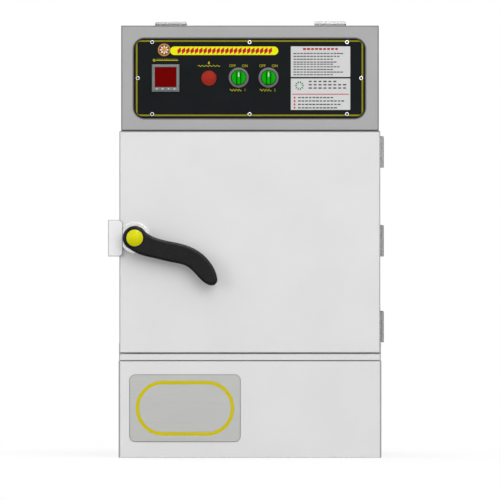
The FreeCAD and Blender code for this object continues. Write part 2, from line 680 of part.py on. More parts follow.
def make_heater(x):
    """A hairpin tube that enters the tank through a flange on the tank's rear wall."""
    body = new_body("Heater")
    put(body, "back", x, "tank_back", "heater_height")
    reach = amount("heater_length")
    bend = amount("heater_bend")
    path = body.newObject("Sketcher::SketchObject", "Path")
    path.AttachmentSupport = [(own_plane(body, "XZ_Plane"), "")]
    path.MapMode = "FlatFace"
    start = -reach + bend
    path.addGeometry(Part.LineSegment(Vector(-bend, 0, 0), Vector(-bend, start, 0)))
    turn = Part.Circle(Vector(0, start, 0), Vector(0, 0, 1), bend)
    path.addGeometry(Part.ArcOfCircle(turn, math.pi, 2 * math.pi))
    path.addGeometry(Part.LineSegment(Vector(bend, start, 0), Vector(bend, 0, 0)))
    rules = [("Coincident", 0, 2, 1, 1), ("Coincident", 1, 2, 2, 1), ("Vertical", 0), ("Vertical", 2),
             ("Horizontal", 0, 2, 1, 3), ("Horizontal", 2, 1, 1, 3), ("PointOnObject", 1, 3, -2),
             ("PointOnObject", 0, 1, -1), ("PointOnObject", 2, 2, -1)]
    for rule in rules:
        path.addConstraint(Sketcher.Constraint(*rule))
    number = path.addConstraint(Sketcher.Constraint("DistanceY", -1, 1, 1, 3, start))
    bind(path, f"Constraints[{number}]", "heater_bend - heater_length")
    number = path.addConstraint(Sketcher.Constraint("Radius", 1, bend))
    bind(path, f"Constraints[{number}]", "heater_bend")
    pipe = body.newObject("PartDesign::AdditivePipe", "Hairpin")
    pipe.Profile = draw(body, "XY_Plane", "0", [("-heater_bend", "0", "heater_tube")])
    pipe.Spine = (path, [])
    doc.recompute()
    add(body, "0", "heater_plate", [("0", "0", "heater_flange")])
    add(body, "heater_plate", "heater_plate + heater_cap", [("0", "0", "heater_flange - heater_plate")])
    return body


def make_water_fittings():
    """The float valve at the left and the drain valve at the right of the rear wall."""
    inlet_x, inlet_z = INLET_PORT
    shank = rod("back", inlet_x, "tank_back - valve_inside", inlet_z, "port_shank",
                "base_back + port_out - tank_back + valve_inside")
    collar = rod("back", inlet_x, "tank_back + seat", inlet_z, "port_collar", "valve_collar")
    nut = rod("back", inlet_x, "base_back + seat", inlet_z, "port_collar", "valve_collar / 2")
    ear_x = (f"{inlet_x} - float_fork / 2 - float_ear", f"{inlet_x} + float_fork / 2 + float_ear")
    fork = block(ear_x, ("float_axis_y - port_shank", "tank_back - valve_inside"),
                 ("float_axis_z - port_shank", "float_axis_z + port_shank"))
    gap = block((f"{inlet_x} - float_fork / 2", f"{inlet_x} + float_fork / 2"),
                ("float_axis_y - 2 * port_shank", "float_axis_y + port_shank + air"),
                ("float_axis_z - 2 * port_shank", "float_axis_z + 2 * port_shank"))
    pin_hole = rod("right", f"{inlet_x} - float_fork", "float_axis_y", "float_axis_z",
                   "float_pin + running", "2 * float_fork")
    bore = rod("back", inlet_x, "base_back - valve_collar", inlet_z, "port_bore",
               "port_out + 2 * valve_collar")
    keep(cut(joined([shank, collar, nut, fork]), [gap, pin_hole, bore]), "float_valve_body")

    drain_x, drain_z = DRAIN_PORT
    barrel = rod("back", drain_x, "tank_back - valve_lip", drain_z, "port_shank",
                 "base_back + port_out + drain_out - tank_back + valve_lip")
    collar = rod("back", drain_x, "tank_back + seat", drain_z, "port_collar", "valve_collar")
    ball_case = doc.addObject("Part::Sphere", "BallCase")
    bind(ball_case, "Radius", "drain_case")
    put(ball_case, "up", drain_x, "drain_y", drain_z)
    stem = rod("up", drain_x, "drain_y", drain_z, "drain_stem", "drain_case + drain_neck")
    bore = rod("back", drain_x, "drain_y + drain_case / 2", drain_z, "port_bore", "port_out + drain_out")
    keep(cut(joined([barrel, collar, ball_case, stem]), [bore]), "drain_valve_body")


def make_drain_lever():
    """A flat lever on the stem of the drain valve, cranked up past the case."""
    drain_x, drain_z = DRAIN_PORT
    top = f"{drain_z} + drain_case + drain_neck"
    under = f"{top} + seat"
    end = f"{drain_x} + drain_lever_reach"
    hub = rod("up", drain_x, "drain_y", f"{top} - drain_hub", "drain_hub_radius", "drain_hub + sheet")
    blade = block((drain_x, end), ("drain_y - drain_stem", "drain_y + drain_stem"),
                  (under, f"{under} + 2 * sheet"))
    tip = rod("up", end, "drain_y", under, "drain_stem", "2 * sheet")
    cap = rod("up", drain_x, "drain_y", under, "drain_hub_radius", "2 * sheet")
    socket = rod("up", drain_x, "drain_y", f"{top} - 2 * drain_hub", "drain_stem + running",
                 "2 * drain_hub + seat")
    keep(cut(joined([hub, cap, blade, tip]), [socket]), "drain_lever")


def make_float():
    """The arm that shuts the filling valve, with its ball, hanging at its lower stop."""
    inlet_x, _ = INLET_PORT
    pin = rod("right", f"{inlet_x} - float_fork / 2 - float_ear", "float_axis_y", "float_axis_z",
              "float_pin", "float_fork + 2 * float_ear")
    eye = rod("right", f"{inlet_x} - float_fork / 2 + air", "float_axis_y", "float_axis_z",
              "2 * float_pin", "float_fork - 2 * air")
    reach = "float_reach - float_ball + float_rod"
    arm = rod("front", inlet_x, "float_axis_y", "float_axis_z", "float_rod", reach)
    keep(joined([pin, eye, arm]), "float_arm")
    ball = doc.addObject("Part::Sphere", "Ball")
    bind(ball, "Radius", "float_ball")
    put(ball, "up", inlet_x, "float_axis_y - float_reach", "float_axis_z")
    socket = rod("front", inlet_x, "float_axis_y", "float_axis_z", "float_rod + running", reach)
    keep(cut(ball, [socket]), "float_ball")


def make_level_switch():
    """A stem that stands in the tank with a ring float between two collars."""
    floor = "tank_floor + sheet"
    stem = rod("up", "level_x", "level_y", floor, "level_stem", "level_height")
    foot = rod("up", "level_x", "level_y", floor, "2 * level_stem", "level_collar")
    stop = rod("up", "level_x", "level_y", f"{floor} + level_height - level_collar", "2 * level_stem",
               "level_collar")
    keep(joined([stem, foot, stop]), "level_switch_stem")
    low = f"{floor} + level_collar + seat"
    ring = rod("up", "level_x", "level_y", low, "level_float_radius", "level_float_height")
    hole = rod("up", "level_x", "level_y", f"{low} - sheet", "level_stem + running",
               "level_float_height + 2 * sheet")
    keep(cut(ring, [hole]), "level_float")


def make_gutter_and_band():
    ends = ("-body_half", "body_half")
    depth = ("gutter_front", "body_front - seat")
    high = "door_low - gutter_gap"
    trough = block(ends, depth, ("base_height", high))
    hollow = block(("-body_half + sheet", "body_half - sheet"),
                   ("gutter_front + sheet", "body_front - seat - sheet"),
                   ("base_height + sheet", f"{high} + sheet"))
    keep(cut(trough, [hollow]), "drip_gutter")
    outer = block(("-body_half - band_thick", "body_half + band_thick"), ("body_front", "base_back"),
                  ("base_height", "band_top"))
    inner = block(("-body_half", "body_half"), ("body_front - sheet", "base_back + sheet"),
                  ("base_height - sheet", "band_top + sheet"))
    keep(cut(outer, [inner]), "joint_band")


# Steam chamber: outer shell, insulation and liner, with racks, trays and diffuser

def vent_hole():
    return rod("up", "0", "vent_back", "cell_top - 2 * insulation", "vent_radius + seat", "4 * insulation")


def make_chamber():
    inner_half = "body_half - sheet"
    shell = block(("-body_half", "body_half"), ("body_front", "base_back"), ("base_height", "body_top"))
    hollow = block((f"-({inner_half})", inner_half), ("body_front - sheet", "base_back - sheet"),
                   ("base_height - sheet", "body_top - sheet"))
    keep(cut(shell, [hollow, vent_hole()]), "outer_shell")

    fill = block((f"-({inner_half})", inner_half), ("body_front + sheet", "base_back - sheet"),
                 ("base_height", "body_top - sheet"))
    cell = block(("-cell_half", "cell_half"), ("body_front - sheet", "cell_back"), ("floor", "cell_top"))
    shaft = block(("-tank_half", "tank_half"), ("tank_front", "tank_back"),
                  ("base_height - sheet", "floor + sheet"))
    keep(cut(fill, [cell, shaft, vent_hole()]), "chamber_insulation")

    wall = block(("-cell_half", "cell_half"), ("body_front", "cell_back"), ("floor", "cell_top"))
    space = block(("-cell_half + sheet", "cell_half - sheet"), ("body_front - sheet", "cell_back - sheet"),
                  ("floor + sheet", "cell_top - sheet"))
    shaft = block(("-tank_half", "tank_half"), ("tank_front", "tank_back"),
                  ("floor - sheet", "floor + 2 * sheet"))
    keep(cut(wall, [space, shaft, vent_hole()]), "chamber_liner")

    face = block((f"-({inner_half})", inner_half), ("body_front", "body_front + sheet"),
                 ("base_height", "body_top - sheet"))
    mouth = block(("-cell_half", "cell_half"), ("body_front - sheet", "body_front + 2 * sheet"),
                  ("floor", "cell_top"))
    keep(cut(face, [mouth]), "front_frame")


def make_vent():
    pipe = new_body("VentPipe")
    put(pipe, "up", "0", "vent_back", "body_top")
    root = "-insulation - 2 * sheet - vent_lip"
    bore = "vent_radius - sheet"
    turned(pipe, [(bore, root), ("vent_radius", root), ("vent_radius", "0"), ("vent_flange", "0"),
                  ("vent_flange", "2 * sheet"), ("vent_radius", "2 * sheet"), ("vent_radius", "vent_rise"),
                  (bore, "vent_rise")])
    keep(pipe, "vent_pipe")


def runner_height(number):
    return f"(tray_first + {number} * tray_pitch)"


def make_rack(side):
    """A side plate with one angled runner for each tray; side is -1 at the left and 1 at the right."""
    def across(near, far):
        low, high = (near, far) if side > 0 else (f"-({far})", f"-({near})")
        return (low, high)

    wall = "cell_half - sheet - seat"
    top = f"{runner_height(TRAYS - 1)} + rack_margin"
    plate = block(across(f"{wall} - sheet", wall), ("rack_front", "rack_back"), ("floor + sheet", top))
    runners = []
    for number in range(TRAYS):
        level = runner_height(number)
        ledge = across(f"{wall} - sheet - runner", f"{wall} - sheet")
        leg = across(f"{wall} - 2 * sheet", f"{wall} - sheet")
        runners.append(block(ledge, ("rack_front", "rack_back"), (f"{level} - sheet", level)))
        runners.append(block(leg, ("rack_front", "rack_back"), (f"{level} - runner", level)))
    return joined([plate] + runners)


def make_tray(number):
    """A pan with an outturned rim and rows of steam slots in its floor."""
    tray = new_body(f"Tray{number}")
    put(tray, "up", "0", "tray_front", f"{runner_height(number - 1)} + seat")
    pan = ("-tray_pan_half", "tray_pan_half")
    depth = ("tray_lip", "tray_length - tray_lip")
    add(tray, "-tray_depth", "0", [oblong(pan, depth)])
    add(tray, "0", "sheet", [oblong(("-tray_half", "tray_half"), ("0", "tray_length"))])
    inner = oblong(("-tray_pan_half + sheet", "tray_pan_half - sheet"),
                   ("tray_lip + sheet", "tray_length - tray_lip - sheet"))
    take(tray, "sheet - tray_depth", "sheet", [inner])
    slots = []
    for place in (-1, 0, 1):
        middle = f"{place} * slot_spacing"
        across = (f"{middle} - slot_length / 2", f"{middle} + slot_length / 2")
        slots.append(oblong(across, ("slot_start", "slot_start + slot_width")))
    row = take(tray, "-tray_depth", "sheet - tray_depth", slots)
    rows = tray.newObject("PartDesign::LinearPattern", "SlotRows")
    rows.Originals = [row]
    rows.Direction = (own_plane(tray, "Y_Axis"), [""])
    bind(rows, "Length", "tray_length - 2 * slot_start - slot_width")
    bind(rows, "Occurrences", "slot_rows")
    tray.Tip = rows
    keep(tray, f"tray_{number}")


def make_diffuser():
    """A slotted false floor on two folded legs that spreads the steam over the chamber."""
    plate = new_body("Diffuser")
    put(plate, "up", "0", "diffuser_front", "floor + sheet")
    reach = "(cell_half - sheet - diffuser_side)"
    add(plate, "0", "diffuser_height", [oblong((f"-{reach}", reach), ("0", "diffuser_length"))])
    recess(plate, "0", "diffuser_height - sheet",
           [oblong((f"-{reach} + sheet", f"{reach} - sheet"), ("-sheet", "diffuser_length + sheet"))])
    slots = []
    for place in (-1, 1):
        middle = f"{place} * diffuser_spacing / 2"
        across = (f"{middle} - diffuser_slot / 2", f"{middle} + diffuser_slot / 2")
        slots.append(oblong(across, ("slot_start", "slot_start + slot_width")))
    row = take(plate, "diffuser_height - sheet", "diffuser_height", slots)
    rows = plate.newObject("PartDesign::LinearPattern", "SlotRows")
    rows.Originals = [row]
    rows.Direction = (own_plane(plate, "Y_Axis"), [""])
    bind(rows, "Length", "diffuser_length - 2 * slot_start - slot_width")
    bind(rows, "Occurrences", "slot_rows")
    plate.Tip = rows
    keep(plate, "diffuser_plate")


# Door

def panel_oblong(inset):
    return oblong((f"{inset} - cell_half", f"cell_half - ({inset})"),
                  (f"floor + {inset}", f"cell_top - ({inset})"))


def make_door():
    pan = new_body("DoorOuterPan")
    put(pan, "front", "0", "door_back", "0")
    add(pan, "0", "door_thick", [oblong(("door_left", "door_right"), ("door_low", "door_top"))])
    doc.recompute()
    front = amount("door_thick")
    soften(pan, "door_bend", lambda edge: at_height(edge, front))
    recess(pan, "0", "door_thick - sheet",
           [oblong(("door_left + sheet", "door_right - sheet"),
                   ("door_low + sheet", "door_top - sheet"))])
    take(pan, "door_thick - 2 * sheet", "door_thick", [("latch_x", "latch_z", "spindle_radius + sheet")])
    slot = pan.newObject("PartDesign::Pocket", "TongueSlot")
    tongue_level = "door_back - tongue_front"
    slot.Profile = draw(pan, "YZ_Plane", "door_left - sheet",
                        [oblong(("latch_z - tongue_sweep", "latch_z + tongue_wide / 2 + sheet"),
                                (f"{tongue_level} - tongue_thick - sheet", f"{tongue_level} + sheet"))])
    slot.Reversed = True
    bind(slot, "Length", "3 * sheet")
    doc.recompute()
    keep(pan, "door_outer_pan")

    inner = new_body("DoorInnerPan")
    put(inner, "front", "0", "door_back", "0")
    across = ("door_left + sheet", "door_right - sheet")
    up = ("door_low + sheet", "door_top - sheet")
    add(inner, "0", "sheet", [oblong(across, up)])
    add(inner, "-panel_rise", "0", [panel_oblong("panel_inset")])
    take(inner, "sheet - panel_rise", "sheet", [panel_oblong("panel_inset + panel_slope + sheet")])
    rise = amount("panel_rise")

    def panel_edge(edge, inside):
        box = edge.BoundBox
        return straight(edge, "z") and box.ZMin < -rise / 2 and (box.ZMax > 0.1) == inside

    soften(inner, "panel_corner - panel_slope - sheet", lambda edge: panel_edge(edge, True))
    soften(inner, "panel_corner", lambda edge: panel_edge(edge, False))
    soften(inner, "panel_slope", lambda edge: at_height(edge, -rise), "PartDesign::Chamfer")
    keep(inner, "door_inner_pan")

    fill = block(across, ("door_front + sheet", "door_back - sheet"), up)
    works = rod("back", "latch_x", "door_front - sheet", "latch_z", "latch_room",
                "tongue_front + tongue_thick + 2 * sheet - door_front")
    keep(cut(fill, [works]), "door_insulation")

    ring = block(("-cell_half - gasket_wide", "cell_half + gasket_wide"),
                 ("door_back", "body_front - seat"),
                 ("floor - gasket_wide", "cell_top + gasket_wide"))
    hole = block(("-cell_half", "cell_half"), ("door_back - sheet", "body_front + sheet"),
                 ("floor", "cell_top"))
    keep(cut(ring, [hole]), "door_gasket")


# Butt hinges: a leaf, its knuckles and a pin for each place

def side_block(out, across, along):
    return block(out, across, along)


def top_block(out, across, along):
    return block(along, across, out)


def side_knuckle(low, radius, length):
    return rod("up", "side_hinge_x", "gap_middle", low, radius, length)


def top_knuckle(low, radius, length):
    return rod("right", low, "seam_middle", "top_hinge_z", radius, length)


def hinge_leaf(make_block, make_knuckle, middle, axis, plate, towards, thirds):
    """One leaf: its plate and a tab and knuckle in each of its own thirds of the hinge."""
    low = f"({middle} - hinge_length / 2)"
    near = "(hinge_radius + air)"
    far = "(hinge_radius + air + hinge_leaf_wide)"
    if towards > 0:
        plate_across = (f"{axis} + {near}", f"{axis} + {far}")
        tab_across = (axis, f"{axis} + {near}")
    else:
        plate_across = (f"{axis} - {far}", f"{axis} - {near}")
        tab_across = (f"{axis} - {near}", axis)
    pieces = [make_block(plate, plate_across, (low, f"{low} + hinge_length"))]
    for third in thirds:
        start = f"({low} + {third} * hinge_length / 3 + seat / 2)"
        length = "hinge_length / 3 - seat"
        pieces.append(make_block(plate, tab_across, (start, f"{start} + {length}")))
        pieces.append(make_knuckle(start, "hinge_radius", length))
    bore = make_knuckle(f"{low} - sheet", "hinge_pin + running", "hinge_length + 2 * sheet")
    return cut(joined(pieces), [bore])


def hinge_set(make_block, make_knuckle, middles, axis, plate, names):
    """All hinges of one seam: fixed leaves and moving leaves, each set one node. Returns the pins."""
    fixed, moving = names
    ends = [hinge_leaf(make_block, make_knuckle, middle, axis, plate, 1, (0, 2)) for middle in middles]
    keep(group(ends), fixed)
    centres = [hinge_leaf(make_block, make_knuckle, middle, axis, plate, -1, (1,)) for middle in middles]
    keep(group(centres), moving)
    rods = []
    for middle in middles:
        low = f"{middle} - hinge_length / 2"
        pin = make_knuckle(low, "hinge_pin", "hinge_length")
        head = make_knuckle(f"{low} + hinge_length + seat", "hinge_radius - air", "sheet")
        neck = make_knuckle(f"{low} + hinge_length - seat", "hinge_pin", "2 * seat")
        rods.append(joined([pin, neck, head]))
    return rods


# Latch: housing on the door's edge, lever with spindle and tongue, and the keeper on the body

def make_latch_housing():
    case = new_body("LatchHousing")
    put(case, "front", "0", "door_front", "0")
    back = "case_back - door_front"
    deep = f"-({back})"
    add(case, deep, "0", [oblong(("case_left", "door_left - seat"), ("case_low", "case_top"))])
    add(case, "0", "case_face", [oblong(("case_left", "case_right"), ("case_low", "case_top"))])
    right = amount("case_right")
    soften(case, "case_corner", lambda edge: straight(edge, "z") and abs(edge.CenterOfMass.x - right) < 1)
    front = amount("case_face")
    soften(case, "case_round", lambda edge: at_height(edge, front))
    hollow = oblong(("case_left + case_wall", "door_left + seat"),
                    ("case_low + case_wall", "case_top - case_wall"))
    recess(case, deep, "0", [hollow])
    recess(case, "0", "rose_thick + seat", [("latch_x", "latch_z", "rose_radius + seat")])
    keep(case, "latch_housing")


def make_keeper():
    keeper = new_body("Keeper")
    put(keeper, "up", "0", "0", "latch_z - keeper_height / 2")
    side = "-body_half"
    corners = [(side, "body_front"), (side, "body_front + keeper_flange"),
               (f"{side} - heavy_sheet", "body_front + keeper_flange"),
               (f"{side} - heavy_sheet", "body_front + heavy_sheet"),
               ("keeper_outer", "body_front + heavy_sheet"),
               ("keeper_outer", "lip_front"), ("lip_end", "lip_front"), ("lip_end", "lip_back"),
               ("keeper_outer + heavy_sheet", "lip_back"), ("keeper_outer + heavy_sheet", "body_front")]
    add(keeper, "0", "keeper_height", [corners])
    keep(keeper, "latch_keeper")


def make_rose_and_spindle():
    rose = new_body("Rose")
    put(rose, "front", "latch_x", "door_front", "latch_z")
    bore = "spindle_radius + running"
    turned(rose, [(bore, "0"), ("rose_radius", "0"), ("rose_radius", "rose_thick - rose_slope"),
                  ("rose_radius - rose_slope", "rose_thick"), (bore, "rose_thick")])
    keep(rose, "handle_rose")
    reach = "tongue_front + tongue_thick - lever_front - spindle_cover"
    spindle = rod("back", "latch_x", "lever_front + spindle_cover", "latch_z", "spindle_radius", reach)
    keep(spindle, "latch_spindle")
    tongue = new_body("Tongue")
    put(tongue, "front", "latch_x", "tongue_front + tongue_thick", "latch_z")
    add(tongue, "0", "tongue_thick",
        [oblong(("-tongue_wide / 2", "tongue_wide / 2"), ("-tongue_reach", "tongue_wide / 2"))])
    soften(tongue, "tongue_wide / 2 - seat", lambda edge: straight(edge, "z") and edge.CenterOfMass.y > 0)
    soften(tongue, "tongue_nose", lambda edge: straight(edge, "z") and edge.CenterOfMass.y < 0)
    take(tongue, "0", "tongue_thick", [("0", "0", "spindle_radius + running")])
    keep(tongue, "latch_tongue")


# The lever's edges from boss to tip and back, right of and above the spindle, for a reach of 144.1
LEVER_OVER = [(15.9, 13.0), (33.7, 1.6), (56.3, -4.9), (82.2, -10.5), (108.1, -21.0), (127.6, -37.2),
              (141.3, -59.9), (144.1, -70.5)]
LEVER_TIP = (141.8, -80.2)
LEVER_UNDER = [(133.2, -83.2), (117.9, -75.3), (103.3, -59.9), (90.3, -49.4), (66.1, -42.9), (33.7, -35.3),
               (9.4, -29.1), (-8.4, -19.4)]
LEVER_DRAWN = 144.1


def make_lever():
    """The swan-necked lever with its round boss and neck, bored for the spindle."""
    share = amount("lever_reach") / LEVER_DRAWN
    thick = amount("lever_thick")
    over = [Vector(across, up, 0) * share for across, up in LEVER_OVER]
    under = [Vector(across, up, 0) * share for across, up in LEVER_UNDER]
    tip = Vector(*LEVER_TIP, 0) * share
    upper = Part.BSplineCurve()
    upper.interpolate(over)
    lower = Part.BSplineCurve()
    lower.interpolate(under)
    edges = [upper.toShape(), Part.Arc(over[-1], tip, under[0]).toShape(), lower.toShape(),
             Part.LineSegment(under[-1], Vector()).toShape(), Part.LineSegment(Vector(), over[0]).toShape()]
    blade = Part.Face(Part.Wire(edges)).extrude(Vector(0, 0, thick))
    boss = Part.makeCylinder(amount("lever_boss"), thick)
    shape = blade.fuse(boss).removeSplitter()
    edges = [edge for edge in shape.Edges if at_height(edge, thick)]
    shape = shape.makeFillet(amount("lever_round"), edges)
    neck_length = amount("lever_gap") - amount("rose_thick") - amount("air")
    neck = Part.makeCylinder(amount("lever_neck"), neck_length, Vector(0, 0, -neck_length))
    depth = neck_length + thick - amount("spindle_cover") + amount("seat")
    bore_radius = amount("spindle_radius") + amount("running")
    bore = Part.makeCylinder(bore_radius, depth, Vector(0, 0, -neck_length))
    lever = doc.addObject("Part::Feature", "Lever")
    lever.Shape = shape.fuse(neck).cut(bore)
    put(lever, "front", "latch_x", "lever_back", "latch_z")
    keep(lever, "lever_handle")


def make_cap():
    ball = doc.addObject("Part::Sphere", "Dome")
    dome = "(cap_radius ^ 2 + cap_rise ^ 2) / (2 * cap_rise)"
    bind(ball, "Radius", dome)
    put(ball, "up", "latch_x", f"lever_front - cap_rise + {dome}", "latch_z")
    disc = rod("front", "latch_x", "lever_front", "latch_z", "cap_radius", "2 * cap_rise")
    cap = doc.addObject("Part::Common", "Cap")
    cap.Base = ball
    cap.Tool = disc
    keep(cap, "handle_cap")


# Control head: housing, hinged cover, control plate and controls

def head_oblong(inset):
    return oblong((f"-head_half + {inset}", f"head_half - {inset}"),
                  (f"body_top + {inset}", f"head_top - {inset}"))


def window_oblong(inset):
    return oblong((f"window_left + {inset}", f"window_right - ({inset})"),
                  (f"window_low + {inset}", f"window_top - ({inset})"))


def make_head():
    front = "seam + cover_gap"
    outside = block(("-head_half", "head_half"), (front, "head_back"), ("body_top", "head_top"))
    inside = block(("-head_half + sheet", "head_half - sheet"), (f"{front} - sheet", "head_back - sheet"),
                   ("body_top + sheet", "head_top - sheet"))
    entry = rod("back", "gland_x", "head_back - 2 * sheet", "gland_z", "gland_thread + seat", "4 * sheet")
    keep(cut(outside, [inside, entry]), "head_housing")

    cover = new_body("HeadCover")
    put(cover, "front", "0", "seam", "0")
    add(cover, "0", "cover_depth", [head_oblong("0")])
    height = amount("cover_depth")
    soften(cover, "cover_bend", lambda edge: at_height(edge, height))
    recess(cover, "0", "cover_depth - sheet", [head_oblong("sheet")])
    shelf = "cover_depth - sheet - window_roll - plate_thick"
    add(cover, f"{shelf} - sheet", "cover_depth - sheet", [window_oblong("0")])
    take(cover, shelf, "cover_depth", [window_oblong("window_roll")])
    half = amount("window_right") + 1
    low, high = amount("window_low") - 1, amount("window_top") + 1

    def around_window(edge):
        middle = edge.CenterOfMass
        return abs(middle.x) < half and low < middle.y < high

    soften(cover, "window_corner - window_roll",
           lambda edge: straight(edge, "z") and around_window(edge) and edge.BoundBox.ZMax > height - 0.1)
    soften(cover, "window_roll - 0.1", lambda edge: at_height(edge, height) and around_window(edge))
    take(cover, f"{shelf} - sheet", shelf, [window_oblong("window_roll + plate_ledge")])
    keep(cover, "head_cover")


def screw_places():
    across = ("screw_left", "screw_middle", "screw_right")
    places = [(x, z) for x in across for z in ("screw_low", "screw_top")]
    return places + [("screw_far_left", "controller_z"), ("screw_far_right", "controller_z")]


def make_plate_and_screws():
    plate = new_body("ControlPlate")
    put(plate, "front", "0", "plate_back", "0")
    add(plate, "0", "plate_thick", [window_oblong("window_roll + seat")])
    soften(plate, "window_corner - window_roll - seat", lambda edge: straight(edge, "z"))
    half = "(controller_body / 2 + seat)"
    holes = [oblong((f"controller_x - {half}", f"controller_x + {half}"),
                    (f"controller_z - {half}", f"controller_z + {half}"))]
    holes.append(("lamp_x", "controller_z", "lamp_shank + seat"))
    holes += [(x, "selector_z", "selector_shank + seat") for x in ("selector_one_x", "selector_two_x")]
    holes += [(x, z, "screw_shank + running") for x, z in screw_places()]
    take(plate, "0", "plate_thick", holes)
    keep(plate, "control_plate")

    screws = []
    for x, z in screw_places():
        shank = rod("front", x, "plate_back", z, "screw_shank", "plate_thick")
        head = doc.addObject("Part::Cone", "Head")
        bind(head, "Radius1", "screw_head")
        bind(head, "Radius2", "screw_crown")
        bind(head, "Height", "screw_rise")
        put(head, "front", x, "plate_front", z)
        socket = doc.addObject("Part::Prism", "Socket")
        socket.Polygon = 6
        bind(socket, "Circumradius", "screw_key")
        bind(socket, "Height", "screw_rise")
        put(socket, "front", x, "plate_front - screw_rise / 2", z)
        screws.append(cut(joined([shank, head]), [socket]))
    keep(group(screws), "panel_screws")


def key_place(number):
    return f"(key_first + {number} * key_pitch)"


def make_controller():
    """The temperature controller: case with bezel, its dark window and four keys."""
    case = new_body("ControllerCase")
    put(case, "front", "controller_x", "plate_front", "controller_z")
    half_body = "controller_body / 2"
    half_face = "controller_face / 2"
    add(case, "-controller_deep", "0", [oblong((f"-{half_body}", half_body), (f"-{half_body}", half_body))])
    add(case, "0", "bezel_rise", [oblong((f"-{half_face}", half_face), (f"-{half_face}", half_face))])
    height = amount("bezel_rise")
    soften(case, "bezel_slope", lambda edge: at_height(edge, height), "PartDesign::Chamfer")
    window = oblong(("-display_wide / 2", "display_wide / 2"),
                    ("display_low", "display_low + display_high"))
    take(case, "bezel_rise - display_sunk", "bezel_rise", [window])
    wells = []
    for number in range(KEYS):
        middle = key_place(number)
        wells.append(oblong((f"{middle} - key_wide / 2 - air", f"{middle} + key_wide / 2 + air"),
                            ("key_level - key_high / 2 - air", "key_level + key_high / 2 + air")))
    take(case, "bezel_rise - key_thick - key_travel", "bezel_rise", wells)
    keep(case, "controller_case")

    pane = block(("controller_x - display_wide / 2 + seat", "controller_x + display_wide / 2 - seat"),
                 ("plate_front - bezel_rise", "plate_front - bezel_rise + display_sunk"),
                 ("controller_z + display_low + seat", "controller_z + display_low + display_high - seat"))
    keep(pane, "controller_window")
    for number in range(KEYS):
        key = new_body(f"Key{number + 1}")
        put(key, "front", f"controller_x + {key_place(number)}",
            "plate_front - bezel_rise + key_thick - key_travel", "controller_z + key_level")
        add(key, "0", "key_thick",
            [oblong(("-key_wide / 2", "key_wide / 2"), ("-key_high / 2", "key_high / 2"))])
        keep(key, f"controller_key_{number + 1}")


def make_lamp():
    lamp = new_body("Lamp")
    put(lamp, "front", "lamp_x", "plate_front", "controller_z")
    turned(lamp, [("0", "-lamp_deep"), ("lamp_shank", "-lamp_deep"), ("lamp_shank", "0"),
                  ("lamp_radius", "0"), ("lamp_radius", "lamp_rim"), ("lens_radius", "lamp_rim"),
                  ("lens_radius", "lens_low"), ("lens_mid", "lens_high"), ("0", "lens_crown")])
    keep(lamp, "low_water_lamp")


def make_selectors():
    bodies = []
    for number, x in enumerate(("selector_one_x", "selector_two_x"), start=1):
        bezel = new_body("SelectorBezel")
        put(bezel, "front", x, "plate_front", "selector_z")
        bore = "selector_shaft + running"
        turned(bezel, [("0", "-selector_deep"), ("selector_shank", "-selector_deep"),
                       ("selector_shank", "0"), ("selector_ring", "0"),
                       ("selector_ring", "selector_rim - ring_slope"),
                       ("selector_ring - ring_slope", "selector_rim"), ("knob_well", "selector_rim"),
                       ("knob_well", "well_floor"), (bore, "well_floor"), (bore, "-selector_bore"),
                       ("0", "-selector_bore")])
        contacts = block((f"{x} - selector_shank", f"{x} + selector_shank"),
                         ("plate_front + selector_deep", "plate_front + selector_deep + contact_deep"),
                         ("selector_z - contact_high / 2", "selector_z + contact_high / 2"))
        bodies.append(joined([bezel, contacts]))

        knob = new_body(f"Knob{number}")
        put(knob, "front", x, "plate_front - well_floor - air", "selector_z")
        add(knob, "air - selector_bore - well_floor", "0", [("0", "0", "selector_shaft")])
        add(knob, "0", "knob_disc", [("0", "0", "selector_knob")])
        add(knob, "knob_disc", "knob_disc + knob_bar",
            [oblong(("-knob_grip / 2", "knob_grip / 2"), ("-knob_reach", "knob_reach"))])
        top = amount("knob_disc") + amount("knob_bar")
        soften(knob, "knob_round", lambda edge: at_height(edge, top))
        grooves = []
        for side in (-1, 1):
            middle = f"{side} * groove_middle"
            grooves.append(oblong((f"{middle} - knob_groove / 2", f"{middle} + knob_groove / 2"),
                                  ("-selector_knob", "selector_knob")))
        take(knob, "knob_disc - groove_deep", "knob_disc", grooves)
        keep(knob, f"selector_knob_{number}")
    keep(group(bodies), "selector_bodies")


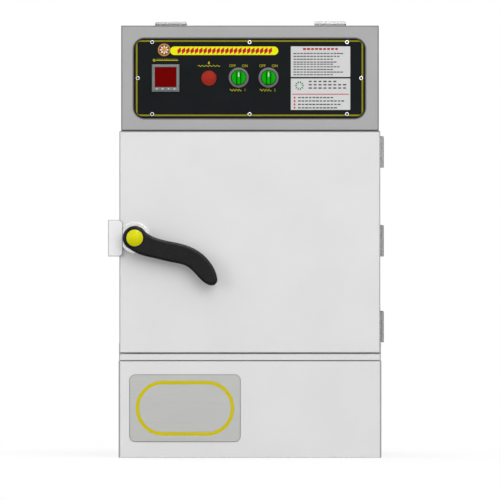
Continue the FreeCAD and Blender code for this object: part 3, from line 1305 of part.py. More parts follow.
def make_wiring():
    """Power contactor, terminal strip and cable gland of the control head."""
    base = block(("contactor_x - contactor_half", "contactor_x + contactor_half"),
                 ("contactor_y", "contactor_y + contactor_deep"),
                 ("body_top + sheet", "body_top + sheet + contactor_step"))
    crown = block(("contactor_x - crown_half", "contactor_x + crown_half"),
                  ("contactor_y + sheet", "contactor_y + contactor_deep - sheet"),
                  ("body_top + sheet", "body_top + sheet + contactor_high"))
    wells = []
    for number in range(-1, 2):
        for place in ("contactor_y - sheet", "contactor_y + contactor_deep - contactor_well"):
            middle = f"contactor_x + {number} * crown_half"
            wells.append(block((f"{middle} - well_wide / 2", f"{middle} + well_wide / 2"),
                               (place, f"{place} + contactor_well + sheet"),
                               ("body_top + sheet + well_low", "body_top + 2 * sheet + contactor_high")))
    keep(cut(joined([base, crown]), wells), "contactor")

    strip = [block(("strip_x", "strip_x + strip_count * strip_pitch"),
                   ("contactor_y", "contactor_y + strip_deep"),
                   ("body_top + sheet", "body_top + sheet + strip_high / 2"))]
    for number in range(int(amount("strip_count")) + 1):
        place = f"strip_x + {number} * strip_pitch"
        strip.append(block((f"{place} - sheet / 2", f"{place} + sheet / 2"),
                           ("contactor_y", "contactor_y + strip_deep"),
                           ("body_top + sheet", "body_top + sheet + strip_high")))
    keep(joined(strip), "terminal_strip")

    gland = new_body("Gland")
    put(gland, "back", "gland_x", "head_back", "gland_z")
    bore = "gland_thread - gland_wall"
    turned(gland, [(bore, "-gland_inside"), ("gland_thread", "-gland_inside"), ("gland_thread", "0"),
                   ("gland_nut", "0"), ("gland_nut", "gland_flange"), ("gland_cap", "gland_flange"),
                   ("gland_cap", "gland_out - gland_slope"), ("gland_cap - gland_slope", "gland_out"),
                   (bore, "gland_out")])
    keep(gland, "cable_gland")


make_base_shell()
make_base_plates()
make_tank()
keep(group([make_heater("-heater_spacing / 2"), make_heater("heater_spacing / 2")]), "heaters")
make_water_fittings()
make_drain_lever()
make_float()
make_level_switch()
make_gutter_and_band()
make_chamber()
make_vent()
keep(group([make_rack(-1), make_rack(1)]), "tray_racks")
for tray_number in range(1, TRAYS + 1):
    make_tray(tray_number)
make_diffuser()
make_door()
side_pins = hinge_set(side_block, side_knuckle, ("side_hinge_low", "side_hinge_mid", "side_hinge_top"),
                      "gap_middle", ("door_right", "door_right + hinge_leaf"),
                      ("side_hinge_body_leaves", "side_hinge_door_leaves"))
top_pins = hinge_set(top_block, top_knuckle, ("-top_hinge_x", "top_hinge_x"), "seam_middle",
                     ("head_top", "head_top + hinge_leaf"),
                     ("top_hinge_fixed_leaves", "top_hinge_cover_leaves"))
keep(group(side_pins + top_pins), "hinge_pins")
make_latch_housing()
make_keeper()
make_rose_and_spindle()
make_lever()
make_cap()
make_head()
make_plate_and_screws()
make_controller()
make_lamp()
make_selectors()
make_wiring()
doc.recompute()

# Every object has to be sound before any piece is written.
for thing in doc.Objects:
    if {"Invalid", "Error"} & set(thing.State):
        raise RuntimeError(f"{thing.Name} ({thing.Label}) could not be built")
for piece in finished_nodes:
    if piece.Shape.isNull() or not piece.Shape.isValid():
        raise RuntimeError(f"{piece.Label} has no valid shape")

os.makedirs("parts", exist_ok=True)
for piece in finished_nodes:
    piece.Shape.exportStep(os.path.join("parts", f"{piece.Label}.step"))
print(f"{len(finished_nodes)} pieces written")
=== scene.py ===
import json
import math

import bmesh
import bpy
from mathutils import Matrix, Vector


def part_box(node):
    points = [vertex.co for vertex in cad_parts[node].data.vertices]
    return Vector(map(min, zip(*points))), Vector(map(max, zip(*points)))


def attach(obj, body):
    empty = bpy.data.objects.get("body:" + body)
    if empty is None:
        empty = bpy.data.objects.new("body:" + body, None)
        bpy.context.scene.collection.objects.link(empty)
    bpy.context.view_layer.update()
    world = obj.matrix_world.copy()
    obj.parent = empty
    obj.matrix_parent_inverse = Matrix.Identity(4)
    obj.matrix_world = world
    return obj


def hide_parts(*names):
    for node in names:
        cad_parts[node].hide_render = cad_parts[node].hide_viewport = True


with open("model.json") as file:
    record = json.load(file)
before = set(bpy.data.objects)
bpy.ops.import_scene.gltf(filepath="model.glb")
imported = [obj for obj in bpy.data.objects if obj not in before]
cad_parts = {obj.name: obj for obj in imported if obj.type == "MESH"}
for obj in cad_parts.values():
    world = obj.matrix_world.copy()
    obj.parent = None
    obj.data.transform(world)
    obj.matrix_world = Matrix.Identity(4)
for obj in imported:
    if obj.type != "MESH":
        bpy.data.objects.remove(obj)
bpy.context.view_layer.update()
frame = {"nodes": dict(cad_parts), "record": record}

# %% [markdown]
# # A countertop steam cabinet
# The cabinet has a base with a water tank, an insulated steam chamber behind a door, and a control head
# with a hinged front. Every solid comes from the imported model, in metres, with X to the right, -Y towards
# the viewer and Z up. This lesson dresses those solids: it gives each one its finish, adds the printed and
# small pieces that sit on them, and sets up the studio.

MM = 0.001
nodes = frame["nodes"]
slot_of = {part["node"]: part["material_slot"] for part in frame["record"]["subparts"]}


def linear(code):
    """An sRGB hex colour as the linear numbers that shaders use."""
    levels = [int(code[place:place + 2], 16) / 255 for place in (1, 3, 5)]
    lit = [level / 12.92 if level <= 0.04045 else ((level + 0.055) / 1.055) ** 2.4 for level in levels]
    return lit + [1.0]


def add(tree, kind, inputs=None, **settings):
    """Adds one node with its options, and sets each input to a value or joins it to a socket.

    A node that is given as a value stands for its first output.
    """
    node = tree.nodes.new(kind)
    for name, value in settings.items():
        setattr(node, name, value)
    for name, value in (inputs or {}).items():
        if isinstance(value, bpy.types.Node):
            value = value.outputs[0]
        if isinstance(value, bpy.types.NodeSocket):
            tree.links.new(value, node.inputs[name])
        else:
            node.inputs[name].default_value = value
    return node


# %% [markdown]
# ## The camera
# The photograph is straight on and has no perspective, as a drawing has. A very long lens far away gives
# the same picture: at 15.75 m from the door the frame is 875 mm wide, and its middle is 363.5 mm up.

# %% Camera
FRAME_WIDTH = 875 * MM
FRAME_MIDDLE = 363.5 * MM
DOOR_FACE = -250 * MM
DISTANCE = 15.75

camera_data = bpy.data.cameras.new("Camera")
camera_data.sensor_width = 36
camera_data.lens = camera_data.sensor_width * DISTANCE / FRAME_WIDTH
camera_data.clip_end = 200
camera = bpy.data.objects.new("Camera", camera_data)
camera.location = (0, DOOR_FACE - DISTANCE, FRAME_MIDDLE)
camera.rotation_euler = (math.radians(90), 0, 0)
bpy.context.scene.collection.objects.link(camera)
bpy.context.scene.camera = camera
print("lens", round(camera_data.lens), "mm at", DISTANCE, "m")

# %% [markdown]
# ## The studio
# The picture has a white ground and soft, even light from the upper right. Most of it comes from the world,
# brighter on that side, and from three wide lamps. A small fourth lamp shows in reflections alone and draws
# the rounded edges of dark plastics. Rays that go straight to the camera meet pure white, so the ground is
# white without more light on the cabinet. In reflections the studio is bright in front, behind and above,
# and darker at the sides, as with black flags there, which draws the edges of round metal. The floor keeps
# a faint shadow near the cabinet, melts into the white further out, and sends back less light than it
# shows, so that what faces down is darker.

# %% World, lamps and floor
WORLD_DARK, WORLD_BRIGHT = 0.06, 1.06
SOFT_SIDE = Vector((0.45, -0.5, 0.74)).normalized()
bpy.context.scene.view_settings.view_transform = "Standard"
world = bpy.data.worlds.new("Studio")
bpy.context.scene.world = world
world.use_nodes = True
sky = world.node_tree
sky.nodes.clear()
seen = add(sky, "ShaderNodeLightPath")
towards = add(sky, "ShaderNodeTexCoord")
axes = add(sky, "ShaderNodeSeparateXYZ", {0: towards.outputs["Generated"]})
ahead = add(sky, "ShaderNodeMath", {0: axes.outputs["Y"]}, operation="ABSOLUTE")
white = add(sky, "ShaderNodeMath", {0: ahead, 1: axes.outputs["Z"]}, operation="MAXIMUM")
flags = add(sky, "ShaderNodeMapRange", {
    "Value": white, "From Min": 0.1, "From Max": 0.75, "To Min": 0.25, "To Max": 0.95})
facing = add(
    sky, "ShaderNodeVectorMath", {0: towards.outputs["Generated"], 1: SOFT_SIDE}, operation="DOT_PRODUCT")
dome = add(sky, "ShaderNodeMapRange", {
    "Value": facing.outputs["Value"], "From Min": -1.0, "To Min": WORLD_DARK, "To Max": WORLD_BRIGHT})
mirrored = add(sky, "ShaderNodeMix", {0: seen.outputs["Is Glossy Ray"], 2: dome, 3: flags})
strength = add(sky, "ShaderNodeMix", {0: seen.outputs["Is Camera Ray"], 2: mirrored, 3: 1.0})
glow = add(sky, "ShaderNodeBackground", {"Color": linear("#FFFFFF"), "Strength": strength})
add(sky, "ShaderNodeOutputWorld", {"Surface": glow})


def lamp(name, place, width, power):
    """A wide soft lamp that faces the middle of the cabinet."""
    data = bpy.data.lights.new(name, "AREA")
    data.shape = "SQUARE"
    data.size = width
    data.energy = power
    thing = bpy.data.objects.new(name, data)
    thing.location = place
    thing.rotation_euler = (Vector((0, 0, 0.38)) - Vector(place)).to_track_quat("-Z", "Y").to_euler()
    bpy.context.scene.collection.objects.link(thing)
    return thing


lamp("KeyLight", (1.2, -4.2, 2.2), 3.0, 64)
lamp("FillLight", (-3.2, -3.0, 1.0), 2.4, 36)
lamp("BackLight", (-1.2, 3.6, 2.6), 2.4, 56)
lamp("EdgeLight", (1.3, -2.1, 4.5), 1.1, 80).visible_diffuse = False

floor_data = bpy.data.meshes.new("StudioFloor")
reach, sunk = 30.0, -0.2 * MM
ends = [(-reach, -reach, sunk), (reach, -reach, sunk), (reach, reach, sunk), (-reach, reach, sunk)]
floor_data.from_pydata(ends, [], [(0, 1, 2, 3)])
floor = bpy.data.objects.new("StudioFloor", floor_data)
bpy.context.scene.collection.objects.link(floor)
ground = bpy.data.materials.new("Pale studio floor")
ground.use_nodes = True
tree = ground.node_tree
tree.nodes.clear()
place = add(tree, "ShaderNodeTexCoord")
away = add(tree, "ShaderNodeVectorMath", {0: place.outputs["Object"]}, operation="LENGTH")
fade = add(tree, "ShaderNodeMapRange", {
    "Value": away.outputs["Value"], "From Min": 0.36, "From Max": 0.95, "To Min": 0.7},
    interpolation_type="SMOOTHSTEP")
ray = add(tree, "ShaderNodeLightPath")
share = add(tree, "ShaderNodeMath", {0: fade, 1: ray.outputs["Is Camera Ray"]}, operation="MULTIPLY")
bounce = add(tree, "ShaderNodeMix", {
    0: ray.outputs["Is Camera Ray"], 6: linear("#A8A8A8"), 7: linear("#FBFBFB")}, data_type="RGBA")
matt = add(tree, "ShaderNodeBsdfDiffuse", {"Color": bounce.outputs[2]})
plain = add(tree, "ShaderNodeEmission", {"Color": linear("#FFFFFF"), "Strength": 1.0})
both = add(tree, "ShaderNodeMixShader", {0: share, 1: matt, 2: plain})
add(tree, "ShaderNodeOutputMaterial", {"Surface": both})
floor_data.materials.append(ground)
print("world light", WORLD_DARK, "to", WORLD_BRIGHT, "and 4 lamps")

# %% [markdown]
# ## Patterns for the finishes
# A finish is a colour, a gloss and a fine relief. Each relief is a noise whose grain has a real size in
# millimetres, read from the piece's own coordinates, so it stays put when a door swings. Stretching the
# noise along one axis turns grains into the fine lines of a brushed sheet. A bevel in the normal rounds
# the folded edges a little, as sheet metal has no knife edges. Each finish is filed under the name of the
# slot that it is for.

# %% Pattern helpers
EVEN = (1, 1, 1)


def finish(name, colour, roughness, settings=None):
    """A new material with one principled shader. Returns its tree and the shader."""
    material = bpy.data.materials.new(name)
    material.use_nodes = True
    shader = material.node_tree.nodes["Principled BSDF"]
    shader.inputs["Base Color"].default_value = linear(colour)
    shader.inputs["Roughness"].default_value = roughness
    for socket, value in (settings or {}).items():
        shader.inputs[socket].default_value = value
    return material.node_tree, shader


def grain(tree, size_mm, stretch=EVEN, detail=2.0):
    """Noise with grains of a real size, drawn out along an axis where stretch is below 1."""
    place = add(tree, "ShaderNodeTexCoord")
    drawn = add(tree, "ShaderNodeMapping", {"Vector": place.outputs["Object"], "Scale": stretch})
    noise = add(tree, "ShaderNodeTexNoise", {"Vector": drawn, "Scale": 1000 / size_mm, "Detail": detail})
    return noise


def relief(tree, shader, pattern, depth_mm, edge_mm=0.0):
    """Bump from a pattern, over edges that are rounded by a radius."""
    bump = add(tree, "ShaderNodeBump", {"Height": pattern, "Distance": depth_mm * MM, "Strength": 1.0})
    if edge_mm:
        bevel = add(tree, "ShaderNodeBevel", {"Radius": edge_mm * MM}, samples=4)
        tree.links.new(bevel.outputs[0], bump.inputs["Normal"])
    tree.links.new(bump.outputs[0], shader.inputs["Normal"])


def tint(tree, shader, pattern, low, high):
    """Two near colours that a pattern mixes."""
    spread = add(tree, "ShaderNodeMapRange", {"Value": pattern, "From Min": 0.3, "From Max": 0.7})
    mixed = add(tree, "ShaderNodeMix", {0: spread, 6: linear(low), 7: linear(high)}, data_type="RGBA")
    tree.links.new(mixed.outputs[2], shader.inputs["Base Color"])


def gloss(tree, shader, pattern, low, high):
    """Roughness that a pattern moves between two values."""
    spread = add(tree, "ShaderNodeMapRange", {
        "Value": pattern, "From Min": 0.3, "From Max": 0.7, "To Min": low, "To Max": high})
    tree.links.new(spread.outputs[0], shader.inputs["Roughness"])


def fold_lines(tree, shader, width_mm, shade):
    """Paints shade into the colour along each fold, where no axis of the piece is square to the surface."""
    turned = add(tree, "ShaderNodeBevel", {"Radius": width_mm * MM}, samples=6)
    own = add(
        tree, "ShaderNodeVectorTransform", {0: turned}, vector_type="NORMAL", convert_from="WORLD",
        convert_to="OBJECT")
    sizes = add(tree, "ShaderNodeVectorMath", {0: own}, operation="ABSOLUTE")
    axes = add(tree, "ShaderNodeSeparateXYZ", {0: sizes})
    pair = add(tree, "ShaderNodeMath", {0: axes.outputs["X"], 1: axes.outputs["Y"]}, operation="MAXIMUM")
    square = add(tree, "ShaderNodeMath", {0: pair, 1: axes.outputs["Z"]}, operation="MAXIMUM")
    near = add(tree, "ShaderNodeMapRange", {"Value": square, "From Min": 0.99, "From Max": 0.92})
    paint = shader.inputs["Base Color"].links[0].from_socket
    drawn = add(tree, "ShaderNodeMix", {0: near, 6: paint, 7: linear(shade)}, data_type="RGBA")
    tree.links.new(drawn.outputs[2], shader.inputs["Base Color"])


def keep(slot, tree):
    """Files a finish under a name, which is a slot of the record or the finish's own."""
    finishes[slot] = next(material for material in bpy.data.materials if material.node_tree == tree)


def surface(slot, name, colour, roughness, settings, layers):
    """A finish with its layers. Each layer names what its grain takes, and then its own values."""
    tree, shader = finish(name, colour, roughness, settings)
    for layer, (sizes, *values) in layers.items():
        layer(tree, shader, grain(tree, *sizes), *values)
    keep(slot, tree)
    return tree, shader


finishes = {}
print("patterns ready")

# %% [markdown]
# ## Powder-coated steel
# The cabinet is folded from sheet steel that is sprayed with powder and baked. The powder melts into a
# satin skin with a faint orange peel, about a millimetre from bump to bump. A narrow darker line of
# painted shade runs along each fold.
# The same paint is used in light grey for the cabinet, and in mid grey for the control head.

# %% Powder coat
def powder_coat(slot, name, colour, paler, darker, fold):
    """A satin coat that clouds between two near shades, with a painted shade line at its folds."""
    tree, shader = surface(slot, name, colour, 0.42, {"Specular IOR Level": 0.4}, {
        tint: ((90, EVEN, 3.0), darker, paler), gloss: ((14, EVEN, 3.0), 0.36, 0.48),
        relief: ((1.3, EVEN, 1.0), 0.012, 0.8)})
    fold_lines(tree, shader, 2.2, fold)


# The last colour of each coat is the painted shade line along its folds.
powder_coat("painted_body", "Powder coat light grey", "#DEDEDE", "#E0E0E0", "#DCDCDC", "#9A9A9A")
powder_coat("painted_head", "Powder coat mid grey", "#A6A6A6", "#A8A8A8", "#A3A3A3", "#6C6C6C")
print("powder coats:", finishes["painted_body"].name, "and", finishes["painted_head"].name)

# %% [markdown]
# ## Painted casting
# The latch housing is a die casting. Paint rounds its edges more than those of folded sheet, and its skin
# is a little coarser.

# %% Painted casting
tree, shader = surface("cast_case", "Painted zinc casting", "#EBEBEB", 0.38, {"Specular IOR Level": 0.45}, {
    tint: ((30,), "#E9E9E9", "#EEEEEE"), relief: ((0.8, EVEN, 3.0), 0.02, 1.0)})
# Painted shade: a darker line along each fold of the casting.
fold_lines(tree, shader, 2.0, "#8E8E8E")
print("casting ready")

# %% [markdown]
# ## Bare metals
# Trays, liner and tank are cold-rolled stainless sheet with a brushed face. A brush leaves lines half a
# millimetre apart and many centimetres long, so the noise is drawn out a hundred times along them. The
# hinges are of satin steel, with painted shade that makes the sides that face down and left darker. The
# handle's rose and the screws of the control plate are polished, so they show the studio.

# %% Stainless, hinge and zinc-plated steel
METAL = {"Metallic": 1.0}
BRUSHED = (0.5, (0.01, 1, 1), 3.0)
surface("stainless", "Brushed stainless sheet", "#DADAD8", 0.34, METAL, {
    tint: ((60, (0.2, 1, 1)), "#D5D5D3", "#DFDFDD"), gloss: (BRUSHED, 0.26, 0.42),
    relief: (BRUSHED, 0.01, 0.4)})
tree, shader = surface("hinge_steel", "Satin rolled hinge steel", "#C4C5C6", 0.25, METAL, {
    gloss: ((7,), 0.22, 0.3)})
# Painted shade: the colour turns darker on the sides that face down and left, away from the light.
place = add(tree, "ShaderNodeTexCoord")
outward = add(
    tree, "ShaderNodeVectorMath", {0: place.outputs["Normal"], 1: (1, 0, 1)}, operation="DOT_PRODUCT")
lit_side_share = add(tree, "ShaderNodeMapRange", {
    "Value": outward.outputs["Value"], "From Min": -0.6, "From Max": 0.5})
painted_side_shade = add(
    tree, "ShaderNodeMix", {0: lit_side_share, 6: linear("#5A5B5C"), 7: linear("#C0C1C2")}, data_type="RGBA")
tree.links.new(painted_side_shade.outputs[2], shader.inputs["Base Color"])
surface("galvanised", "Zinc-plated steel", "#B4B8BC", 0.4, METAL, {
    tint: ((7, EVEN, 4.0), "#A6ACB2", "#BFC1C0"), gloss: ((5, EVEN, 4.0), 0.3, 0.5),
    relief: ((0.6,), 0.008, 0.3)})
surface("polished", "Polished stainless steel", "#F2F2F0", 0.14, METAL, {
    tint: ((14, EVEN, 3.0), "#EFEFED", "#F6F6F4"), gloss: ((1.5, EVEN, 3.0), 0.1, 0.18),
    relief: ((0.5,), 0.003, 0.5)})
print("finishes:", ", ".join(finishes))

# %% [markdown]
# ## Anodised and lacquered plates
# The plate on the base is anodised aluminium with a fine sideways brushing, which looks pale and chalky.
# The control plate is lacquered matt black before its signs are printed.

# %% Plates
surface("badge_panel", "Anodised aluminium plate", "#BDBEBB", 0.42, {"Metallic": 0.35}, {
    tint: (BRUSHED, "#B9BAB7", "#C1C2BF"), gloss: (BRUSHED, 0.36, 0.5), relief: (BRUSHED, 0.006, 0.4)})
surface("control_black", "Matt black lacquer", "#101417", 0.5, {"Specular IOR Level": 0.08}, {
    tint: ((40,), "#0F1316", "#131719"), relief: ((0.5,), 0.006, 0.3)})
print("plates ready")

# %% [markdown]
# ## Moulded plastics
# The lever is glass-filled nylon, the cap and the knobs are glossy ABS, and the bezels are matt
# polycarbonate. The mould's texture is a few tenths of a millimetre on matt parts and wider on glossy ones.
# In a white studio a clear skin veils deep colours, so each plastic has its own shine.

# %% Plastics
def moulded(slot, name, colour, other, roughness, texture_mm, depth_mm, shine=0.12):
    """A plastic with the texture of its mould, as wide and deep as given, and its own shine."""
    surface(slot, name, colour, roughness, {"Specular IOR Level": shine}, {
        tint: ((12,), colour, other), gloss: ((3, EVEN, 3.0), roughness * 0.85, roughness * 1.15),
        relief: ((texture_mm,), depth_mm, 0.5)})


moulded("lever_black", "Black glass-filled nylon", "#0C0C0D", "#111112", 0.3, 0.4, 0.01, shine=0.21)
moulded("cap_yellow", "Yellow gloss ABS", "#D6D400", "#CFCD00", 0.24, 0.9, 0.004, shine=0.15)
moulded("controller_grey", "Grey polycarbonate bezel", "#838585", "#7D7F7F", 0.42, 0.3, 0.008)
moulded("key_grey", "Pale grey key rubber", "#8E9292", "#888C8C", 0.5, 0.4, 0.008)
moulded("display_red", "Dark red filter acrylic", "#700000", "#690000", 0.2, 2.0, 0.002, shine=0.02)
moulded("selector_grey", "Grey selector bezel", "#7B797D", "#737175", 0.4, 0.35, 0.01)
moulded("selector_green", "Green gloss ABS", "#07B105", "#06A704", 0.26, 0.6, 0.005, shine=0.03)
moulded("electric_black", "Black phenolic moulding", "#1F1F1F", "#262524", 0.45, 0.5, 0.01)
moulded("red_grip", "Red dipped vinyl", "#B3201C", "#A81D19", 0.35, 1.2, 0.01, shine=0.4)
print("plastics:", len(finishes), "finishes so far")

# %% [markdown]
# ## The lamp's lens
# The red lens is ribbed inside with rings 1.2 mm apart, which spread the light of the lamp behind it.
# Rings about the lamp's middle come from a wave texture that is centred there by a mapping.

# %% Lens
RIB = 1.2 * MM
low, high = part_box("low_water_lamp")
lamp_middle = (low + high) / 2
tree, shader = finish("Ribbed red polycarbonate", "#9E2A20", 0.34, {"Specular IOR Level": 0.06})
place = add(tree, "ShaderNodeTexCoord")
centred = add(tree, "ShaderNodeMapping", {
    "Vector": place.outputs["Object"], "Location": (-lamp_middle.x, 0, -lamp_middle.z)})
flat = add(tree, "ShaderNodeVectorMath", {0: centred, 1: (1, 0, 1)}, operation="MULTIPLY")
rings = add(
    tree, "ShaderNodeTexWave", {"Vector": flat, "Scale": 1 / RIB / 20 * math.pi, "Distortion": 0.0},
    wave_type="RINGS", rings_direction="SPHERICAL")
tint(tree, shader, rings.outputs["Fac"], "#97261C", "#A52D22")
relief(tree, shader, rings.outputs["Fac"], 0.08, edge_mm=0.5)
keep("lamp_red", tree)
print("lamp at", [round(value, 4) for value in lamp_middle])

# %% [markdown]
# ## Silicone, mineral wool and brass
# The gasket is extruded silicone: dull, a little waxy, and drawn out along its length. Mineral wool is a
# mat of fibres in every direction. The water fittings are turned brass, whose cutter leaves fine lines
# around each fitting.

# %% Gasket, wool and brass
WAXY = {"IOR": 1.43, "Subsurface Weight": 0.08, "Subsurface Radius": (0.004, 0.003, 0.002)}
FIBRES, CUTS = (1.4, (0.25, 1, 1), 6.0), (0.4, (1, 0.05, 1))
surface("silicone", "Pale silicone rubber", "#CFCFC9", 0.55, WAXY, {
    tint: ((20, EVEN, 4.0), "#C8C8C1", "#D4D4CE"), relief: ((0.7,), 0.02, 1.2)})
surface("mineral_wool", "Pressed mineral wool", "#B9A36B", 0.95, {"Sheen Weight": 0.2}, {
    tint: (FIBRES, "#9C8450", "#CDB985"), relief: (FIBRES, 0.5)})
surface("brass_fitting", "Turned brass", "#C9A55C", 0.28, METAL, {
    tint: ((10, EVEN, 4.0), "#B8914A", "#D3B26C"), gloss: (CUTS, 0.2, 0.38), relief: (CUTS, 0.01, 0.3)})
print("finishes:", len(finishes))

# %% Each solid gets its slot's finish
for name, solid in nodes.items():
    for place in solid.material_slots:
        place.material = finishes[slot_of[name]]
for name in ("handle_rose", "panel_screws"):
    nodes[name].material_slots[0].material = finishes["polished"]
print("dressed", len(nodes), "solids with", len(finishes), "finishes")

# %% [markdown]
# ## Pieces made from rings
# Prints, marks and small heads are all made the same way: a row of closed rings with as many points each,
# joined by quads. An outline that stands in front of its plate by a tenth of a millimetre is a print, and
# four rings that close on themselves are a frame with a hole.

# %% Outlines and rings
def rounded(left, low, right, top, radius, steps=8):
    """The points of a rectangle with round corners, anticlockwise from the lower left, in millimetres."""
    points = []
    for turn, (x, z) in enumerate(((right, low), (right, top), (left, top), (left, low))):
        centre = (x + (-radius if x == right else radius), z + (radius if z == low else -radius))
        for step in range(steps + 1):
            angle = math.radians(-90 + 90 * turn + 90 * step / steps)
            points.append((centre[0] + radius * math.cos(angle), centre[1] + radius * math.sin(angle)))
    return points


def circle(x, z, radius, count=36):
    """The points of a circle, in millimetres."""
    angles = [2 * math.pi * number / count for number in range(count)]
    return [(x + radius * math.cos(angle), z + radius * math.sin(angle)) for angle in angles]


def at_depth(outline, depth):
    """An outline in (x, z) millimetres as points in metres at one depth."""
    return [Vector((x * MM, depth, z * MM)) for x, z in outline]


def rings_to_mesh(name, sets, closed=False):
    """One mesh from one or more sets of rings. A set is capped at its ends, or closed on itself."""
    points, faces = [], []
    for rings in sets:
        first, count = len(points), len(rings[0])
        points += [point for ring in rings for point in ring]
        for index in range(len(rings) if closed else len(rings) - 1):
            here = first + index * count
            there = first + (index + 1) % len(rings) * count
            for step in range(count):
                following = (step + 1) % count
                faces.append((here + step, here + following, there + following, there + step))
        if not closed:
            faces.append(tuple(range(first + count - 1, first - 1, -1)))
            faces.append(tuple(range(len(points) - count, len(points))))
    mesh = bpy.data.meshes.new(name)
    mesh.from_pydata(points, [], faces)
    shell = bmesh.new()
    shell.from_mesh(mesh)
    bmesh.ops.recalc_face_normals(shell, faces=shell.faces)
    shell.to_mesh(mesh)
    shell.free()
    return mesh


def settle(name, mesh, slot, body, material=None):
    """Makes an object of a mesh whose place is in its points, and lets it ride on a body."""
    thing = bpy.data.objects.new(name, mesh)
    bpy.context.scene.collection.objects.link(thing)
    mesh.materials.clear()
    mesh.materials.append(material or finishes[slot])
    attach(thing, body)
    return thing


print("a ring of", len(rounded(0, 0, 10, 5, 1)), "points is ready")

# %% [markdown]
# ## Printing inks
# Signs on the control plate are screen printed: a flat, slightly grainy film of ink that is a little
# glossier than the lacquer. Each colour is one ink.


# %% Inks
def ink(name, colour, other):
    """A flat ink, filed under its own name."""
    surface(name, name, colour, 0.45, {"Specular IOR Level": 0.1}, {
        tint: ((2.0, EVEN, 4.0), colour, other), relief: ((0.5,), 0.004)})
    return finishes[name]


yellow_ink = ink("Olive yellow screen ink", "#8E870F", "#878010")
bright_ink = ink("Bright yellow screen ink", "#ECEC04", "#E4E402")
sign_ink = ink("Sign yellow screen ink", "#B5AE12", "#ABA512")
red_ink = ink("Red screen ink", "#BE1E2D", "#B41B29")
dark_ink = ink("Dark grey screen ink", "#4A4A4C", "#525254")
label_film = ink("Pale label film", "#D3D3D3", "#CFCFCF")
white_ink = ink("White pad print", "#CECECE", "#C6C6C8")
ring_ink = ink("Ring yellow enamel ink", "#CDBE00", "#C8B900")
tan_ink = ink("Tan screen ink", "#C98F4A", "#BF8743")
brown_ink = ink("Brown screen ink", "#7C4A1E", "#744419")
orange_ink = ink("Orange screen ink", "#E79A12", "#DD920F")
cream_ink = ink("Cream screen ink", "#EFE6D2", "#E8DFC9")
leaf_ink = ink("Leaf green screen ink", "#3E7F4A", "#397544")
surround_ink = ink("Blue-grey surround ink", "#748686", "#6E8080")
# Painted shade: a near-black ink that stands for the shade in socket recesses and knob wells.
painted_recess_shade = ink("Shaded screw socket", "#0A0A0A", "#0D0D0D")
FILM = 0.1 * MM


def corners(node):
    """The left, low, right and top edge of a node's box, in millimetres."""
    box_low, box_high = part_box(node)
    return box_low.x / MM, box_low.z / MM, box_high.x / MM, box_high.z / MM


def middle_of(node):
    """The middle of a node's box across the front, in millimetres."""
    box_low, box_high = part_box(node)
    return (box_low.x + box_high.x) / 2 / MM, (box_low.z + box_high.z) / 2 / MM


def inside_of(box, margin):
    """The edges of a box, moved in by a margin."""
    return box[0] + margin, box[1] + margin, box[2] - margin, box[3] - margin


def print_on(name, outlines, face, material, slot, body, lift=1):
    """Flat prints whose front is one or more films in front of a face at one depth."""
    sets = [
        [at_depth(outline, face - lift * FILM), at_depth(outline, face + 0.2 * FILM)]
        for outline in outlines]
    return settle(name, rings_to_mesh(name, sets), slot, body, material)


def frame_on(name, outside, inside, face, material, slot, body):
    """A printed frame between two outlines with as many points."""
    front, back = face - FILM, face + 0.2 * FILM
    rings = [
        at_depth(outside, front), at_depth(outside, back), at_depth(inside, back),
        at_depth(inside, front)]
    return settle(name, rings_to_mesh(name, [rings], closed=True), slot, body, material)


print("inks ready")

# %% [markdown]
# ## Signs of the control plate
# A yellow line frames the plate. Its outer corners are rounder than its inner ones, because they follow
# the plate's own corners. Above the controls lies a long yellow bar with round ends. Both are thin prints,
# so they are made from outlines and have no relief of their own.

# %% Frame line and title bar
PANEL = ("control_black", "control_cover")
plate_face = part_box("control_plate")[0].y
left, low, right, top = corners("control_plate")
LINE, LINE_ROUND, LINE_INNER = 2.8, 10.5, 3.0
TITLE_START, TITLE_WIDTH, TITLE_DROP, TITLE_HEIGHT = 63.4, 189.3, 13.3, 14.9


def sign(name, outlines, material, lift=1):
    """Flat prints on the control plate, one or more films high."""
    return print_on(name, outlines, plate_face, material, *PANEL, lift)


line_box = (left + 3.4, low + 4.0, right - 3.2, top - 2.3)
frame_on(
    "plate_frame_line", rounded(*line_box, LINE_ROUND), rounded(*inside_of(line_box, LINE), LINE_INNER),
    plate_face, yellow_ink, *PANEL)
title_left, title_top = left + TITLE_START, top - TITLE_DROP
title_box = (title_left, title_top - TITLE_HEIGHT, title_left + TITLE_WIDTH, title_top)
sign("title_bar", [rounded(*title_box, TITLE_HEIGHT / 2 - 0.05)], bright_ink)
print("plate face at y =", round(plate_face, 5))

# %% [markdown]
# ## What repeats comes from Geometry Nodes
# The title bar carries a row of slanted flames, and the rosette next to it a ring of petals. A small
# tree makes each: it places a leaf shape on points, joins the copies into real mesh and gives the ink.
# The inputs are named sizes, so one tree serves every row, and another every ring.


# %% Trees for rows and rings
def new_tree(name, inputs):
    """A geometry tree with named inputs, and the sockets of those inputs under their names."""
    tree = bpy.data.node_groups.new(name, "GeometryNodeTree")
    tree.interface.new_socket("Geometry", in_out="OUTPUT", socket_type="NodeSocketGeometry")
    for label, kind in inputs.items():
        tree.interface.new_socket(label, in_out="INPUT", socket_type=kind)
    entry = add(tree, "NodeGroupInput")
    return tree, {label: entry.outputs[label] for label in inputs}


def finish_tree(tree, result, given):
    """Every tree ends in real mesh with its material set."""
    real = add(tree, "GeometryNodeRealizeInstances", {"Geometry": result})
    inked = add(tree, "GeometryNodeSetMaterial", {"Geometry": real, "Material": given["Material"]})
    add(tree, "NodeGroupOutput", {0: inked})


